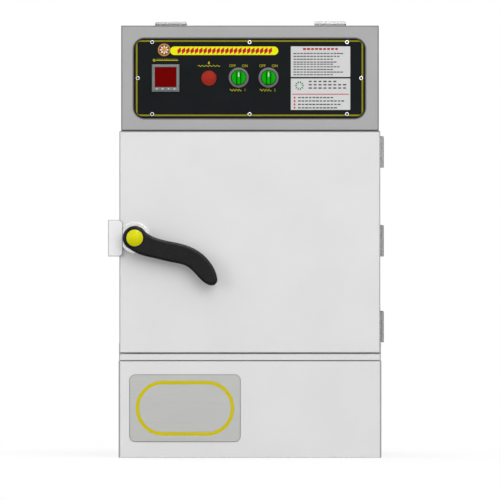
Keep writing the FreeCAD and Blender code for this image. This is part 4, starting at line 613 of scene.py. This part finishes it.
def grown(name, tree, values, slot, body, material):
    """Runs a tree with its inputs set, keeps the result as a plain mesh and lets it ride on a body."""
    holder = bpy.data.objects.new(name + "_seed", bpy.data.meshes.new(name + "_seed"))
    bpy.context.scene.collection.objects.link(holder)
    modifier = holder.modifiers.new("Grow", "NODES")
    modifier.node_group = tree
    keys = {item.name: item.identifier for item in tree.interface.items_tree if item.in_out == "INPUT"}
    for label, value in {**values, "Material": material}.items():
        modifier[keys[label]] = value
    graph = bpy.context.evaluated_depsgraph_get()
    mesh = bpy.data.meshes.new_from_object(holder.evaluated_get(graph))
    mesh.name = name
    holder.modifiers.clear()
    bpy.data.objects.remove(holder)
    print(name, "has", len(mesh.polygons), "faces")
    return settle(name, mesh, slot, body, material)


QUARTER = math.radians(90)
FRONT, BACK, UP = (QUARTER, 0, 0), (-QUARTER, 0, 0), (0, 0, 0)
LEFT, RIGHT = (0, -QUARTER, 0), (0, QUARTER, 0)
NUMBER, COUNT, PLACE, INK = "NodeSocketFloat", "NodeSocketInt", "NodeSocketVector", "NodeSocketMaterial"


def leaf(tree, sizes):
    """A flat four-sided leaf that faces the viewer, as thick as one film."""
    shape = add(tree, "GeometryNodeMeshCylinder", {"Vertices": 4, "Radius": 1.0, "Depth": 1.0})
    half = add(tree, "ShaderNodeVectorMath", {0: sizes, 1: (0.5, 0.5, 1.0)}, operation="MULTIPLY")
    return add(tree, "GeometryNodeTransform", {"Geometry": shape, "Scale": half, "Rotation": FRONT})


row_tree, given = new_tree("Row of leaves", {
    "Start": PLACE, "Step": PLACE, "Count": COUNT, "Size": PLACE, "Slant": NUMBER, "Material": INK})
line = add(row_tree, "GeometryNodeMeshLine", {
    "Count": given["Count"], "Start Location": given["Start"], "Offset": given["Step"]})
lean = add(row_tree, "ShaderNodeCombineXYZ", {"Y": given["Slant"]})
copies = add(row_tree, "GeometryNodeInstanceOnPoints", {
    "Points": line, "Instance": leaf(row_tree, given["Size"]), "Rotation": lean})
finish_tree(row_tree, copies, given)

ring_tree, given = new_tree("Ring of leaves", {
    "Middle": PLACE, "Count": COUNT, "Radius": NUMBER, "Size": PLACE, "Turn": NUMBER, "Material": INK})
hoop = add(ring_tree, "GeometryNodeMeshCircle", {"Vertices": given["Count"], "Radius": given["Radius"]})
number = add(ring_tree, "GeometryNodeInputIndex")
share = add(ring_tree, "ShaderNodeMath", {0: number, 1: given["Count"]}, operation="DIVIDE")
around = add(ring_tree, "ShaderNodeMath", {0: share, 1: -2 * math.pi}, operation="MULTIPLY")
angle = add(ring_tree, "ShaderNodeCombineXYZ", {"Y": around})
upright = add(ring_tree, "GeometryNodeTransform", {"Geometry": hoop, "Rotation": FRONT})
copies = add(ring_tree, "GeometryNodeInstanceOnPoints", {
    "Points": upright, "Instance": leaf(ring_tree, given["Size"]), "Rotation": angle})
turn = add(ring_tree, "ShaderNodeCombineXYZ", {"Y": given["Turn"]})
moved = add(ring_tree, "GeometryNodeTransform", {
    "Geometry": copies, "Rotation": turn, "Translation": given["Middle"]})
finish_tree(ring_tree, moved, given)
print("trees:", row_tree.name, "and", ring_tree.name)

# %% Flames on the title bar
FLAMES, FLAME_PITCH, FLAME_SIZE = 22, 7.6, (7.2, 13.0)
FLAKE, AFLOAT = 1.2 * FILM, 1.6 * FILM
flame_start = ((title_left + 15.8) * MM, plate_face - AFLOAT, (title_top - TITLE_HEIGHT / 2) * MM)
grown("title_flames", row_tree, {
    "Start": flame_start, "Step": (FLAME_PITCH * MM, 0, 0), "Count": FLAMES,
    "Size": (FLAME_SIZE[0] * MM, FLAME_SIZE[1] * MM, FLAKE), "Slant": math.radians(24)}, *PANEL, red_ink)

# %% [markdown]
# ## The rosette
# Beside the bar sits a small round print in tan and brown: a rim, a brown ground, and two rings of petals.
# Each layer lies one film higher than the one under it, as inks do that are printed one after another.

# %% Rosette
ROSETTE, ROSETTE_GROUND, ROSETTE_AWAY, ROSETTE_DROP = 11.0, 9.2, 10.4, 5.9
rosette_x, rosette_z = title_left - ROSETTE_AWAY, title_top - ROSETTE_DROP
sign("rosette_rim", [circle(rosette_x, rosette_z, ROSETTE)], tan_ink, lift=2)
sign("rosette_ground", [circle(rosette_x, rosette_z, ROSETTE_GROUND)], brown_ink, lift=3)
middle = (rosette_x * MM, plate_face - 3.6 * FILM, rosette_z * MM)
grown("rosette_petals", ring_tree, {
    "Middle": middle, "Count": 8, "Radius": 5.4 * MM, "Size": (6.2 * MM, 3.2 * MM, FLAKE), "Turn": 0.0},
    *PANEL, cream_ink)
grown("rosette_heart", ring_tree, {
    "Middle": (middle[0], plate_face - 4.6 * FILM, middle[2]), "Count": 6, "Radius": 2.0 * MM,
    "Size": (3.6 * MM, 2.2 * MM, FLAKE), "Turn": 0.26}, *PANEL, orange_ink)

# %% [markdown]
# ## Signs beside the controls
# Each switch has OFF and ON at its ends of travel, and plain pictures say the rest: a thermometer over the
# controller, a drop over a wavy water line over the lamp, and a heating coil with the heater's number under
# each switch. A line that bends is drawn as one outline, offset both ways.


# %% Lettering and strokes
def lettering(name, text, x, z):
    """A short word as flat mesh on the control plate, centred at a point."""
    curve = bpy.data.curves.new(name, "FONT")
    curve.body = text
    curve.size = CAPITAL / 0.69 * MM
    curve.extrude = 0.6 * FILM
    curve.align_x = curve.align_y = "CENTER"
    holder = bpy.data.objects.new(name + "_curve", curve)
    bpy.context.scene.collection.objects.link(holder)
    bpy.context.view_layer.update()
    graph = bpy.context.evaluated_depsgraph_get()
    mesh = bpy.data.meshes.new_from_object(holder.evaluated_get(graph))
    bpy.data.objects.remove(holder)
    shell = bmesh.new()
    shell.from_mesh(mesh)
    bmesh.ops.remove_doubles(shell, verts=shell.verts, dist=1e-6)
    shell.to_mesh(mesh)
    shell.free()
    upright = Matrix.Rotation(QUARTER, 4, "X")
    mesh.transform(Matrix.Translation((x * MM, plate_face - 0.5 * FILM, z * MM)) @ upright)
    return settle(name, mesh, *PANEL, sign_ink)


def stroke(points, width):
    """The outline of a line of one width through points in (x, z) millimetres."""
    left_side, right_side = [], []
    for index, (x, z) in enumerate(points):
        before, after = points[max(index - 1, 0)], points[min(index + 1, len(points) - 1)]
        run = Vector((after[0] - before[0], after[1] - before[1])).normalized() * width / 2
        left_side.append((x - run.y, z + run.x))
        right_side.append((x + run.y, z - run.x))
    return left_side + right_side[::-1]


def wave(x, z, length, height, turns):
    """Points along a sine wave that starts at x, ten to a turn."""
    count = 10 * turns
    return [
        (x + length * step / count, z + height / 2 * math.sin(2 * math.pi * turns * step / count))
        for step in range(count + 1)]


print("a wave has", len(wave(0, 0, 30, 2, 5)), "points")

# %% Thermometer, drop and coils
CAPITAL, STROKE, TICK, DROP = 4.6, 0.9, 1.5, 1.8
GAUGE_START, GAUGE_LENGTH, GAUGE_RISE, GAUGE_LINE, BULB = 20, 42, 31.3, 1.6, 2.5
WATER_WIDE, WATER_HIGH, WATER_RISE, DROP_RISE = 38.8, 2.2, 21.4, 26.0
COIL_START, COIL_WIDE, COIL_HIGH, COIL_FALL, NUMBER_AWAY = 15.4, 20, 3.6, 21.8, 11
WORD_AWAY, WORD_RISE = 10.8, 20.6
gauge_x, gauge_z = middle_of("controller_case")
gauge_z += GAUGE_RISE
bulb = gauge_x - GAUGE_START
tube_line = stroke([(bulb, gauge_z), (bulb + GAUGE_LENGTH, gauge_z)], GAUGE_LINE)
sign("thermometer_sign", [circle(bulb, gauge_z, BULB, 20), tube_line], sign_ink)
grown("thermometer_ticks", row_tree, {
    "Start": ((bulb + 6) * MM, plate_face - 0.6 * FILM, (gauge_z + 2.3) * MM), "Step": (4 * MM, 0, 0),
    "Count": 9, "Slant": math.radians(45), "Size": (TICK * MM, TICK * MM, FLAKE)}, *PANEL, sign_ink)
lamp_x, lamp_z = middle_of("low_water_lamp")
water = wave(lamp_x - WATER_WIDE / 2, lamp_z + WATER_RISE, WATER_WIDE, WATER_HIGH, 6)
sign("water_line_sign", [stroke(water, STROKE)], sign_ink)
drop_z = lamp_z + DROP_RISE
drop = [(lamp_x, drop_z + 2.1 * DROP)]
for step in range(17):
    angle = math.radians(150 + 15 * step)
    drop.append((lamp_x + DROP * math.cos(angle), drop_z + DROP * math.sin(angle)))
sign("water_drop_sign", [drop], sign_ink)
for number in (1, 2):
    knob_x, knob_z = middle_of(f"selector_knob_{number}")
    coil = wave(knob_x - COIL_START, knob_z - COIL_FALL, COIL_WIDE, COIL_HIGH, 4)
    sign(f"coil_sign_{number}", [stroke(coil, STROKE)], sign_ink)
    lettering(f"switch_off_{number}", "OFF", knob_x - WORD_AWAY, knob_z + WORD_RISE)
    lettering(f"switch_on_{number}", "ON", knob_x + WORD_AWAY, knob_z + WORD_RISE)
    lettering(f"switch_number_{number}", str(number), knob_x + NUMBER_AWAY, knob_z - COIL_FALL)

# %% [markdown]
# ## Knob and key marks
# Each knob's bar has a white line in a groove that points to OFF or ON, and it turns with the knob. Each
# key of the controller has a light mark, which moves with the key. A dark ring of painted shade lies in
# the well around each knob, and a blue-grey frame around the display's window.

# %% Marks that move
MARK_WIDE, MARK_LOW, MARK_TOP, KEY_DOT = 2.2, 1.4, 8.6, 1.3
for number in (1, 2):
    knob = f"selector_knob_{number}"
    knob_x, knob_z = middle_of(knob)
    edges = (knob_x - MARK_WIDE / 2, knob_z + MARK_LOW, knob_x + MARK_WIDE / 2, knob_z + MARK_TOP)
    print_on(
        f"knob_mark_{number}", [rounded(*edges, 0.6, 3)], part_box(knob)[0].y, white_ink, "selector_green",
        f"selector_{number}")
for number in range(1, 5):
    key = f"controller_key_{number}"
    print_on(
        f"key_mark_{number}", [circle(*middle_of(key), KEY_DOT, 16)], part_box(key)[0].y, white_ink,
        "key_grey", f"key_{number}")
print("marks ride on", ["selector_1", "selector_2"] + [f"key_{number}" for number in range(1, 5)])

# %% Painted knob shade rings and window surround
SHADE_RING_OUT, SHADE_RING_IN, SHADE_RING_SUNK, GAP, SLOPE = 13.35, 12.3, 0.4, 0.3, 1.7
rim_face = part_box("selector_bodies")[0].y
# Painted shade: a dark ring in the gap of the well around each knob.
for number in (1, 2):
    spot = middle_of(f"selector_knob_{number}")
    frame_on(
        f"selector_seal_{number}", circle(*spot, SHADE_RING_OUT, 64), circle(*spot, SHADE_RING_IN, 64),
        rim_face + SHADE_RING_SUNK * MM, painted_recess_shade, "selector_grey", "control_cover")
pane = corners("controller_window")
frame_on(
    "display_surround", rounded(*inside_of(pane, -SLOPE), 0.8), rounded(*inside_of(pane, -GAP), 0.2),
    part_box("controller_case")[0].y, surround_ink, "controller_grey", "control_cover")
print("display pane", [round(edge, 1) for edge in pane])

# %% [markdown]
# ## Stick-on labels
# Two pale film labels lie at the right of the plate. Rows of short bars are their small print, under a red
# heading or a red rule. A tree lays the bars on a grid, cuts each row to its own length and gives each bar
# its own width. Its seed is fixed, so the rows are the same each time.

# %% Tree for rows of small print
print_tree, given = new_tree("Rows of small print", {
    "Middle": PLACE, "Columns": COUNT, "Rows": COUNT, "Width": NUMBER, "Height": NUMBER, "Bar": PLACE,
    "Shortest": NUMBER, "Seed": COUNT, "Material": INK})
sheet = add(print_tree, "GeometryNodeMeshGrid", {
    "Size X": given["Width"], "Size Y": given["Height"], "Vertices X": given["Columns"],
    "Vertices Y": given["Rows"]})
number = add(print_tree, "GeometryNodeInputIndex")
part = add(print_tree, "ShaderNodeMath", {0: number, 1: given["Rows"]}, operation="DIVIDE")
column = add(print_tree, "ShaderNodeMath", {0: part}, operation="FLOOR")
row = add(print_tree, "ShaderNodeMath", {0: number, 1: given["Rows"]}, operation="MODULO")
share = add(print_tree, "FunctionNodeRandomValue", {
    2: given["Shortest"], 3: 1.0, "ID": row, "Seed": given["Seed"]}, data_type="FLOAT")
full = add(print_tree, "ShaderNodeMath", {0: share.outputs[1], 1: given["Columns"]}, operation="MULTIPLY")
past = add(print_tree, "ShaderNodeMath", {0: column, 1: full}, operation="GREATER_THAN")
kept = add(
    print_tree, "GeometryNodeDeleteGeometry", {"Geometry": sheet, "Selection": past}, domain="POINT")
upright = add(print_tree, "GeometryNodeTransform", {
    "Geometry": kept, "Translation": given["Middle"], "Rotation": FRONT})
cube = add(print_tree, "GeometryNodeMeshCube", {"Size": given["Bar"]})
wide = add(
    print_tree, "FunctionNodeRandomValue", {2: 0.72, 3: 1.0, "Seed": given["Seed"]}, data_type="FLOAT")
stretch = add(print_tree, "ShaderNodeCombineXYZ", {"X": wide.outputs[1], "Y": 1.0, "Z": 1.0})
copies = add(print_tree, "GeometryNodeInstanceOnPoints", {
    "Points": upright, "Instance": cube, "Scale": stretch})
finish_tree(print_tree, copies, given)
print("tree:", print_tree.name)


# %% Labels
def small_print(name, spot, columns, rows, size, bar, shortest, seed, material):
    """Rows of bars on a label, centred at (x, z), with the sizes in millimetres."""
    grown(name, print_tree, {
        "Middle": (spot[0] * MM, plate_face - AFLOAT, spot[1] * MM), "Columns": columns, "Rows": rows,
        "Width": size[0] * MM, "Height": size[1] * MM, "Bar": (bar[0] * MM, FLAKE, bar[1] * MM),
        "Shortest": shortest, "Seed": seed}, *PANEL, material)


LABEL_WIDTH, UPPER_HEIGHT, LOWER_HEIGHT, LABEL_GAP, LABEL_ROUND = 104.0, 53.6, 55.0, 2.6, 0.8
LABEL_MARGIN, LABEL_DROP = 25.8, 13.1
label_left = right - LABEL_MARGIN - LABEL_WIDTH
label_right = label_left + LABEL_WIDTH
upper_top = top - LABEL_DROP
upper_low = upper_top - UPPER_HEIGHT
lower_top = upper_low - LABEL_GAP
lower_low = lower_top - LOWER_HEIGHT
label_x = label_left + LABEL_WIDTH / 2
sign("upper_label", [rounded(label_left, upper_low, label_right, upper_top, LABEL_ROUND)], label_film)
sign("lower_label", [rounded(label_left, lower_low, label_right, lower_top, LABEL_ROUND)], label_film)
small_print("upper_heading", (label_x, upper_top - 4.6), 9, 2, (56, 1.4), (5.6, 2.0), 1.0, 3, red_ink)
small_print("upper_rules", (label_x - 4, upper_top - 20), 15, 4, (82, 15), (5.3, 1.9), 0.62, 11, dark_ink)
small_print(
    "upper_notes", (label_x - 4, upper_low + 13.2), 15, 5, (82, 18.4), (5.3, 1.8), 0.5, 5, dark_ink)
rule_box = (label_left + 2.5, lower_top - 28.2, label_right - 2.5, lower_top - 26.8)
sign("lower_rule", [rounded(*rule_box, 0.3)], red_ink, lift=2)
small_print(
    "lower_heading", (label_x + 12, lower_top - 11), 8, 3, (60, 11.5), (6.2, 2.4), 0.6, 21, dark_ink)
small_print(
    "lower_notes", (label_x + 4, lower_low + 12.6), 14, 4, (82, 18.0), (5.6, 2.1), 0.65, 17, dark_ink)
wheel = ((label_left + 15) * MM, plate_face - AFLOAT, (lower_top - 12.6) * MM)
grown("lower_wheel", ring_tree, {
    "Middle": wheel, "Count": 10, "Radius": 6.2 * MM, "Size": (5.4 * MM, 2.4 * MM, FLAKE), "Turn": 0.0},
    *PANEL, leaf_ink)
dot_heights = (3.8, 9.6, 15.4, 21.4)
dots = [circle(label_left + 6.5, lower_low + height, 1.7, 18) for height in dot_heights]
sign("lower_dots", dots, red_ink, lift=2)

# %% [markdown]
# ## Ring on the base plate
# The plate on the base carries a long oval ring in yellow enamel. It has an even width, so its inner
# outline is its outer one, moved in.

# %% Enamel ring
RING_IN, RING_WIDTH, RING_ROUND = 10.4, 6.0, 47.3
badge_edge = corners("badge_plate")
ring_box = inside_of(badge_edge, RING_IN)
frame_on(
    "badge_ring", rounded(*ring_box, RING_ROUND, 20),
    rounded(*inside_of(ring_box, RING_WIDTH), RING_ROUND - RING_WIDTH, 20),
    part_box("badge_plate")[0].y, ring_ink, "badge_panel", "root")
print("ring edges", [round(edge, 1) for edge in ring_box])

# %% [markdown]
# ## Heads of screws and rivets
# Every small head is a short cone, and its socket is a dark six-sided disc of painted shade. One tree
# sets a row of them, facing any way, so it serves the sockets of the plate's screws, the hinge leaves and
# the covers.

# %% Tree for rows of studs
stud_tree, given = new_tree("Row of studs", {
    "Start": PLACE, "Step": PLACE, "Count": COUNT, "Sides": COUNT, "Foot": NUMBER, "Top": NUMBER,
    "Rise": NUMBER, "Facing": PLACE, "Material": INK})
line = add(stud_tree, "GeometryNodeMeshLine", {
    "Count": given["Count"], "Start Location": given["Start"], "Offset": given["Step"]})
stud = add(stud_tree, "GeometryNodeMeshCone", {
    "Vertices": given["Sides"], "Radius Top": given["Top"], "Radius Bottom": given["Foot"],
    "Depth": given["Rise"]})
copies = add(stud_tree, "GeometryNodeInstanceOnPoints", {
    "Points": line, "Instance": stud, "Rotation": given["Facing"]})
finish_tree(stud_tree, copies, given)
print("tree:", stud_tree.name)


# %% Screws and sockets
def studs(name, start, step, count, sides, foot, top_radius, rise, facing, slot, body, material=None):
    """A row of studs from start to start plus its steps, with radii and rise in millimetres."""
    grown(name, stud_tree, {
        "Start": start, "Step": step, "Count": count, "Sides": sides, "Foot": foot * MM,
        "Top": top_radius * MM, "Rise": rise * MM, "Facing": facing}, slot, body,
        material or finishes[slot])


def screws(name, start, step, count, facing, slot, body, rise=0.5):
    """Countersunk screws: a low shiny head and a socket of painted shade that stands out by a hair."""
    foot, socket = 2.9, 1.3
    studs(name, start, step, count, 20, foot, foot - 0.8 * rise, rise, facing, slot, body)
    studs(
        name + "_sockets", start, step, count, 6, socket, socket, rise + 0.04, facing, slot, body,
        painted_recess_shade)


HEAD, SOCKET, SOCKET_RISE, SUNK = 4.2 * MM, 2.3, 0.2, 0.15 * MM
COLUMN, MIDDLE_COLUMN = 170.55 * MM, -0.7 * MM
screw_low, screw_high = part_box("panel_screws")
near_y = screw_low.y + SUNK
side_step = (screw_high.x - screw_low.x - 2 * HEAD, 0, 0)
side_start = (screw_low.x + HEAD, near_y, middle_of("controller_case")[1] * MM)
rows = {
    "low": ((MIDDLE_COLUMN - COLUMN, near_y, screw_low.z + HEAD), (COLUMN, 0, 0), 3),
    "top": ((MIDDLE_COLUMN - COLUMN, near_y, screw_high.z - HEAD), (COLUMN, 0, 0), 3),
    "sides": (side_start, side_step, 2)}
# Painted shade: dark discs in the sockets of the plate's screws.
for name, (start, step, count) in rows.items():
    studs(
        f"plate_sockets_{name}", start, step, count, 6, SOCKET, SOCKET, SOCKET_RISE, FRONT, "stainless",
        "control_cover", painted_recess_shade)

# %% [markdown]
# ## Dark lines of painted shade at joints
# A dark bead of painted shade lies in the joint between the drip gutter and the base, and a thin dark rim
# of painted shade shows around the plate on the base. A bead or a wire is a tube: rings of one radius set
# across a path.


# %% Tubes and painted joint shade
def smooth(points, steps=6):
    """A curve in millimetres through given points, with its slope at each taken from its neighbours."""
    ends = [points[0]] + points + [points[-1]]
    path = []
    for index in range(1, len(ends) - 2):
        before, here, there, after = (Vector(point) for point in ends[index - 1:index + 3])
        for step in range(steps):
            t = step / steps
            bend = (2 * before - 5 * here + 4 * there - after) * t * t
            twist = (3 * here - before - 3 * there + after) * t * t * t
            path.append(0.5 * (2 * here + (there - before) * t + bend + twist))
    return path + [Vector(points[-1])]


def tube(name, paths, radius, slot, body, material, sides=10):
    """Round tubes of one radius along paths in millimetres, as one piece."""
    sets = []
    angles = [2 * math.pi * step / sides for step in range(sides)]
    for path in paths:
        path = [Vector(point) for point in path]
        rings = []
        across = (path[1] - path[0]).orthogonal().normalized()
        for index, point in enumerate(path):
            run = (path[min(index + 1, len(path) - 1)] - path[max(index - 1, 0)]).normalized()
            across = (across - across.dot(run) * run).normalized()
            other = run.cross(across)
            rings.append([
                (point + radius * (math.cos(angle) * across + math.sin(angle) * other)) * MM
                for angle in angles])
        sets.append(rings)
    return settle(name, rings_to_mesh(name, sets), slot, body, material)


# Painted shade: the grey of the dark lines at the gutter joint and the base plate's edge.
joint_shade_grey = ink("Dark grey sealant", "#626262", "#6A6A6A")
BEAD, EDGE_SHADE_OUT, EDGE_SHADE_IN, PLATE_ROUND = 1.0, 0.8, 0.4, 9.6
gutter_left, gutter_floor, gutter_right, _ = corners("drip_gutter")
bead_y, bead_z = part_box("drip_gutter")[0].y / MM - 0.2, gutter_floor + 0.8 * BEAD
# Painted shade: a dark bead for the shade in the joint of gutter and base.
tube(
    "joint_bead", [[(gutter_left + BEAD, bead_y, bead_z), (gutter_right - BEAD, bead_y, bead_z)]], BEAD,
    "silicone", "root", joint_shade_grey)
# Painted shade: a dark rim for the shade at the edge of the base plate.
frame_on(
    "badge_gasket", rounded(*inside_of(badge_edge, -EDGE_SHADE_OUT), PLATE_ROUND + EDGE_SHADE_OUT),
    rounded(*inside_of(badge_edge, EDGE_SHADE_IN), PLATE_ROUND - EDGE_SHADE_IN),
    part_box("badge_plate")[1].y - 4 * FILM, joint_shade_grey, "silicone", "root")
print("seals ready")

# %% [markdown]
# ## Screws of hinges, covers and latch
# Each hinge leaf has three countersunk screws. The service cover at the back is held by six, and the
# latch's case and keeper by two each at the side. Blind rivets hold the door's inner pan.

# %% Hinge screws
LEAF, HINGE, HINGE_STEP, SCREW_PITCH, LEAF_THICK = 22 * MM, 53.5 * MM, 155.8 * MM, 17 * MM, 1.6 * MM
low_corner, high_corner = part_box("side_hinge_body_leaves")
leaf_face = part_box("outer_shell")[1].x + LEAF_THICK
columns = (
    ("body", "root", high_corner.y - LEAF / 2),
    ("door", "door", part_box("side_hinge_door_leaves")[0].y + LEAF / 2))
middles = (low_corner.z + HINGE / 2, high_corner.z - HINGE / 2 - HINGE_STEP, high_corner.z - HINGE / 2)
for number, middle in enumerate(middles, start=1):
    for side, body, y in columns:
        screws(
            f"side_{side}_screws_{number}", (leaf_face, y, middle - SCREW_PITCH), (0, 0, SCREW_PITCH), 3,
            RIGHT, "hinge_steel", body)
low_corner, high_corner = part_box("top_hinge_fixed_leaves")
leaf_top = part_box("head_housing")[1].z + LEAF_THICK
columns = (
    ("fixed", "root", high_corner.y - LEAF / 2),
    ("cover", "control_cover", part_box("top_hinge_cover_leaves")[0].y + LEAF / 2))
for number, middle in enumerate((low_corner.x + HINGE / 2, high_corner.x - HINGE / 2), start=1):
    for side, body, y in columns:
        screws(
            f"top_{side}_screws_{number}", (middle - SCREW_PITCH, y, leaf_top), (SCREW_PITCH, 0, 0), 3,
            UP, "hinge_steel", body)

# %% Other screws and rivets
EDGE, CASE_SETBACK, CASE_PITCH = 6 * MM, 24 * MM, 44 * MM
KEEPER_THICK, KEEPER_SETBACK, KEEPER_FOOT, KEEPER_PITCH = 3 * MM, 14 * MM, 9 * MM, 22 * MM
service_low, service_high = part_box("rear_cover")
pitch = (service_high.x - service_low.x - 2 * EDGE) / 2
for name, height in (("low", service_low.z + EDGE), ("top", service_high.z - EDGE)):
    screws(
        f"service_screws_{name}", (service_low.x + EDGE, service_high.y, height), (pitch, 0, 0), 3, BACK,
        "galvanised", "root")
case_low, case_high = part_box("latch_housing")
case_start = (case_low.x, case_low.y + CASE_SETBACK, (case_low.z + case_high.z - CASE_PITCH) / 2)
screws("latch_case_screws", case_start, (0, 0, CASE_PITCH), 2, LEFT, "galvanised", "door", rise=0.06)
keeper_low, keeper_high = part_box("latch_keeper")
keeper_x = -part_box("outer_shell")[1].x - KEEPER_THICK
keeper_start = (keeper_x, keeper_high.y - KEEPER_SETBACK, keeper_low.z + KEEPER_FOOT)
screws("keeper_screws", keeper_start, (0, 0, KEEPER_PITCH), 2, LEFT, "galvanised", "root")

RIVETS, MARGIN, RIVET_FOOT, RIVET_TOP, RIVET_RISE = 7, 6.5 * MM, 2.2, 1.3, 0.9
pan_low, pan_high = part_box("door_inner_pan")
shell_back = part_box("door_outer_pan")[1].y
up_step = (0, 0, (pan_high.z - pan_low.z - 4 * MARGIN) / (RIVETS - 1))
across_step = ((pan_high.x - pan_low.x - 2 * MARGIN) / (RIVETS - 1), 0, 0)
rows = {
    "left": ((pan_low.x + MARGIN, shell_back, pan_low.z + 2 * MARGIN), up_step, RIVETS - 1),
    "right": ((pan_high.x - MARGIN, shell_back, pan_low.z + 2 * MARGIN), up_step, RIVETS - 1),
    "top": ((pan_low.x + MARGIN, shell_back, pan_high.z - MARGIN), across_step, RIVETS)}
for name, (start, step, count) in rows.items():
    studs(
        f"pan_rivets_{name}", start, step, count, 16, RIVET_FOOT, RIVET_TOP, RIVET_RISE, BACK,
        "galvanised", "door")

# %% [markdown]
# ## Wiring of the head
# With the front cover up, the back of the controls shows. A loom of coloured wires joins the controller,
# the lamp and the two switches, and stays on the cover. Behind it, wires run from the terminal strip to
# the power contactor. Their routes are given in millimetres. Terminals are low brass or zinc screws.

# %% Looms
wires = (
    ("red", ink("Red PVC insulation", "#A8241C", "#9E2119")),
    ("black", ink("Black PVC insulation", "#1C1C1E", "#222224")),
    ("blue", ink("Blue PVC insulation", "#2A4E9C", "#264890")))
backs = ("controller_case", "selector_bodies", "low_water_lamp")
gauge_back, switch_back, lamp_back = (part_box(node)[1].y / MM for node in backs)
gauge_x, gauge_z = middle_of("controller_case")
lamp_x, lamp_z = middle_of("low_water_lamp")
switch_x, switch_z = middle_of("selector_knob_1")
far_x, far_z = middle_of("selector_knob_2")
WIRE, THICK_WIRE, LANE, PLUGGED = 1.3, 1.8, 3.4, 0.4
deep = switch_back + 4
for number, (name, material) in enumerate(wires):
    run_z = gauge_z - 32 - LANE * number
    trunk = [
        (gauge_x - 8 + 8 * number, gauge_back - PLUGGED, gauge_z - 6),
        (gauge_x - 2 + 5 * number, gauge_back + 7, gauge_z - 14),
        (gauge_x + 12, gauge_back - 6, run_z + 4), (gauge_x + 44, deep, run_z), (lamp_x, deep, run_z),
        (switch_x - 12, deep, run_z), (far_x - 12, deep, run_z), (far_x - 2, deep + 3, run_z + 12),
        (far_x - 5 + 5 * number, switch_back - PLUGGED, far_z - 8)]
    to_switch = [
        (switch_x - 14, deep, run_z), (switch_x - 4, deep + 3, run_z + 12),
        (switch_x - 5 + 5 * number, switch_back - PLUGGED, switch_z - 8)]
    to_lamp = [
        (lamp_x - 16, deep, run_z), (lamp_x - 4, deep - 2, run_z + 12),
        (lamp_x - 3 + 6 * number, lamp_back - PLUGGED, lamp_z - 4)]
    routes = [trunk, to_switch, to_lamp] if name != "blue" else [trunk, to_switch]
    tube(
        f"cover_wires_{name}", [smooth(route) for route in routes], WIRE, "electric_black",
        "control_cover", material)
    print("loom wire", name, "has", len(routes), "runs")

# %% Power wires and terminals
STRIP_PITCH, TERMINALS, WELLS, BLOCK_TOP, WELL_FLOOR = 13.0, 8, 16.2, 11.0, 35.0
strip_low, strip_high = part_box("terminal_strip")
contactor_low, contactor_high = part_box("contactor")
strip_x, strip_y = strip_low.x / MM + STRIP_PITCH / 2 + 0.75, strip_low.y / MM
block_z = strip_low.z / MM + BLOCK_TOP
contactor_x = (contactor_low.x + contactor_high.x) / 2 / MM
well_z = contactor_low.z / MM + WELL_FLOOR
for number, (name, material) in enumerate(wires):
    x, y, z = contactor_x + (number - 1) * WELLS, contactor_low.y / MM + 3, well_z + 2.4
    start_x = strip_x + number * STRIP_PITCH
    route = [
        (start_x, strip_y + 7, block_z + 2.2), (start_x, strip_y - 4, block_z + 6),
        (start_x - 12, strip_y - 14 - 4 * number, block_z + 22),
        (x + 10, y - 18, well_z + 14 - 4 * number), (x, y - 5, well_z + 5), (x, y, z)]
    tube(f"power_wires_{name}", [smooth(route)], THICK_WIRE, "electric_black", "root", material)
for name, y in (("front", strip_low.y + 7 * MM), ("back", strip_high.y - 7 * MM)):
    studs(
        f"strip_screws_{name}", (strip_x * MM, y, block_z * MM), (STRIP_PITCH * MM, 0, 0), TERMINALS, 16,
        3.4, 3.0, 1.6, UP, "brass_fitting", "root")
for name, y in (("front", contactor_low.y + 6.5 * MM), ("back", contactor_high.y - 6.5 * MM)):
    studs(
        f"contactor_screws_{name}", ((contactor_x - WELLS) * MM, y, well_z * MM), (WELLS * MM, 0, 0), 3,
        16, 3.8, 3.4, 1.8, UP, "galvanised", "root")

# %% [markdown]
# ## The yellow cap
# The cap that covers the end of the spindle is a shallow dome, bright on the side of the lamp and darker
# below, with a faint step near its rim. It is turned from a short profile and stands for the plain dome of
# the CAD model. A dark blue ring in the lever around it is painted shade of the gap between cap and lever.

# %% Turned cap
cap_low, cap_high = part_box("handle_cap")
cap_x, cap_z = middle_of("handle_cap")
cap_radius, cap_rise = (cap_high.x - cap_low.x) / 2 / MM, (cap_high.y - cap_low.y) / MM
STEP_AT, STEP_DEPTH, RING_OUT, RING_UNDER = 0.8, 0.03, 2.0, 0.1
profile = [(1.0, 0.0)]
for share in (0.985, 0.95, 0.9, 0.85, 0.81, 0.79, 0.74, 0.66, 0.56, 0.45, 0.33, 0.2, 0.08):
    lowered = STEP_DEPTH if share > STEP_AT else 0.0
    profile.append((share, 1 - share ** 2 - lowered * (1 - share) / (1 - STEP_AT)))
cap_rings = [
    at_depth(circle(cap_x, cap_z, cap_radius * share, 64), cap_high.y - cap_rise * rise * MM)
    for share, rise in profile]
cap_mesh = rings_to_mesh("handle_cap_turned", [cap_rings])
for face in cap_mesh.polygons:
    face.use_smooth = True
cap_piece = settle("handle_cap_turned", cap_mesh, "cap_yellow", "handle")
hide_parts("handle_cap")
# Painted shade: a dark blue ring for the shade in the gap between cap and lever.
cap_gap_shade = ink("Dark blue soft PVC", "#030524", "#06082C")
frame_on(
    "handle_cap_ring", circle(cap_x, cap_z, cap_radius + RING_OUT, 64),
    circle(cap_x, cap_z, cap_radius - RING_UNDER, 64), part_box("lever_handle")[0].y - FILM, cap_gap_shade,
    "silicone", "handle")
print("cap", round(2 * cap_radius, 1), "mm across,", round(cap_rise, 1), "mm high")
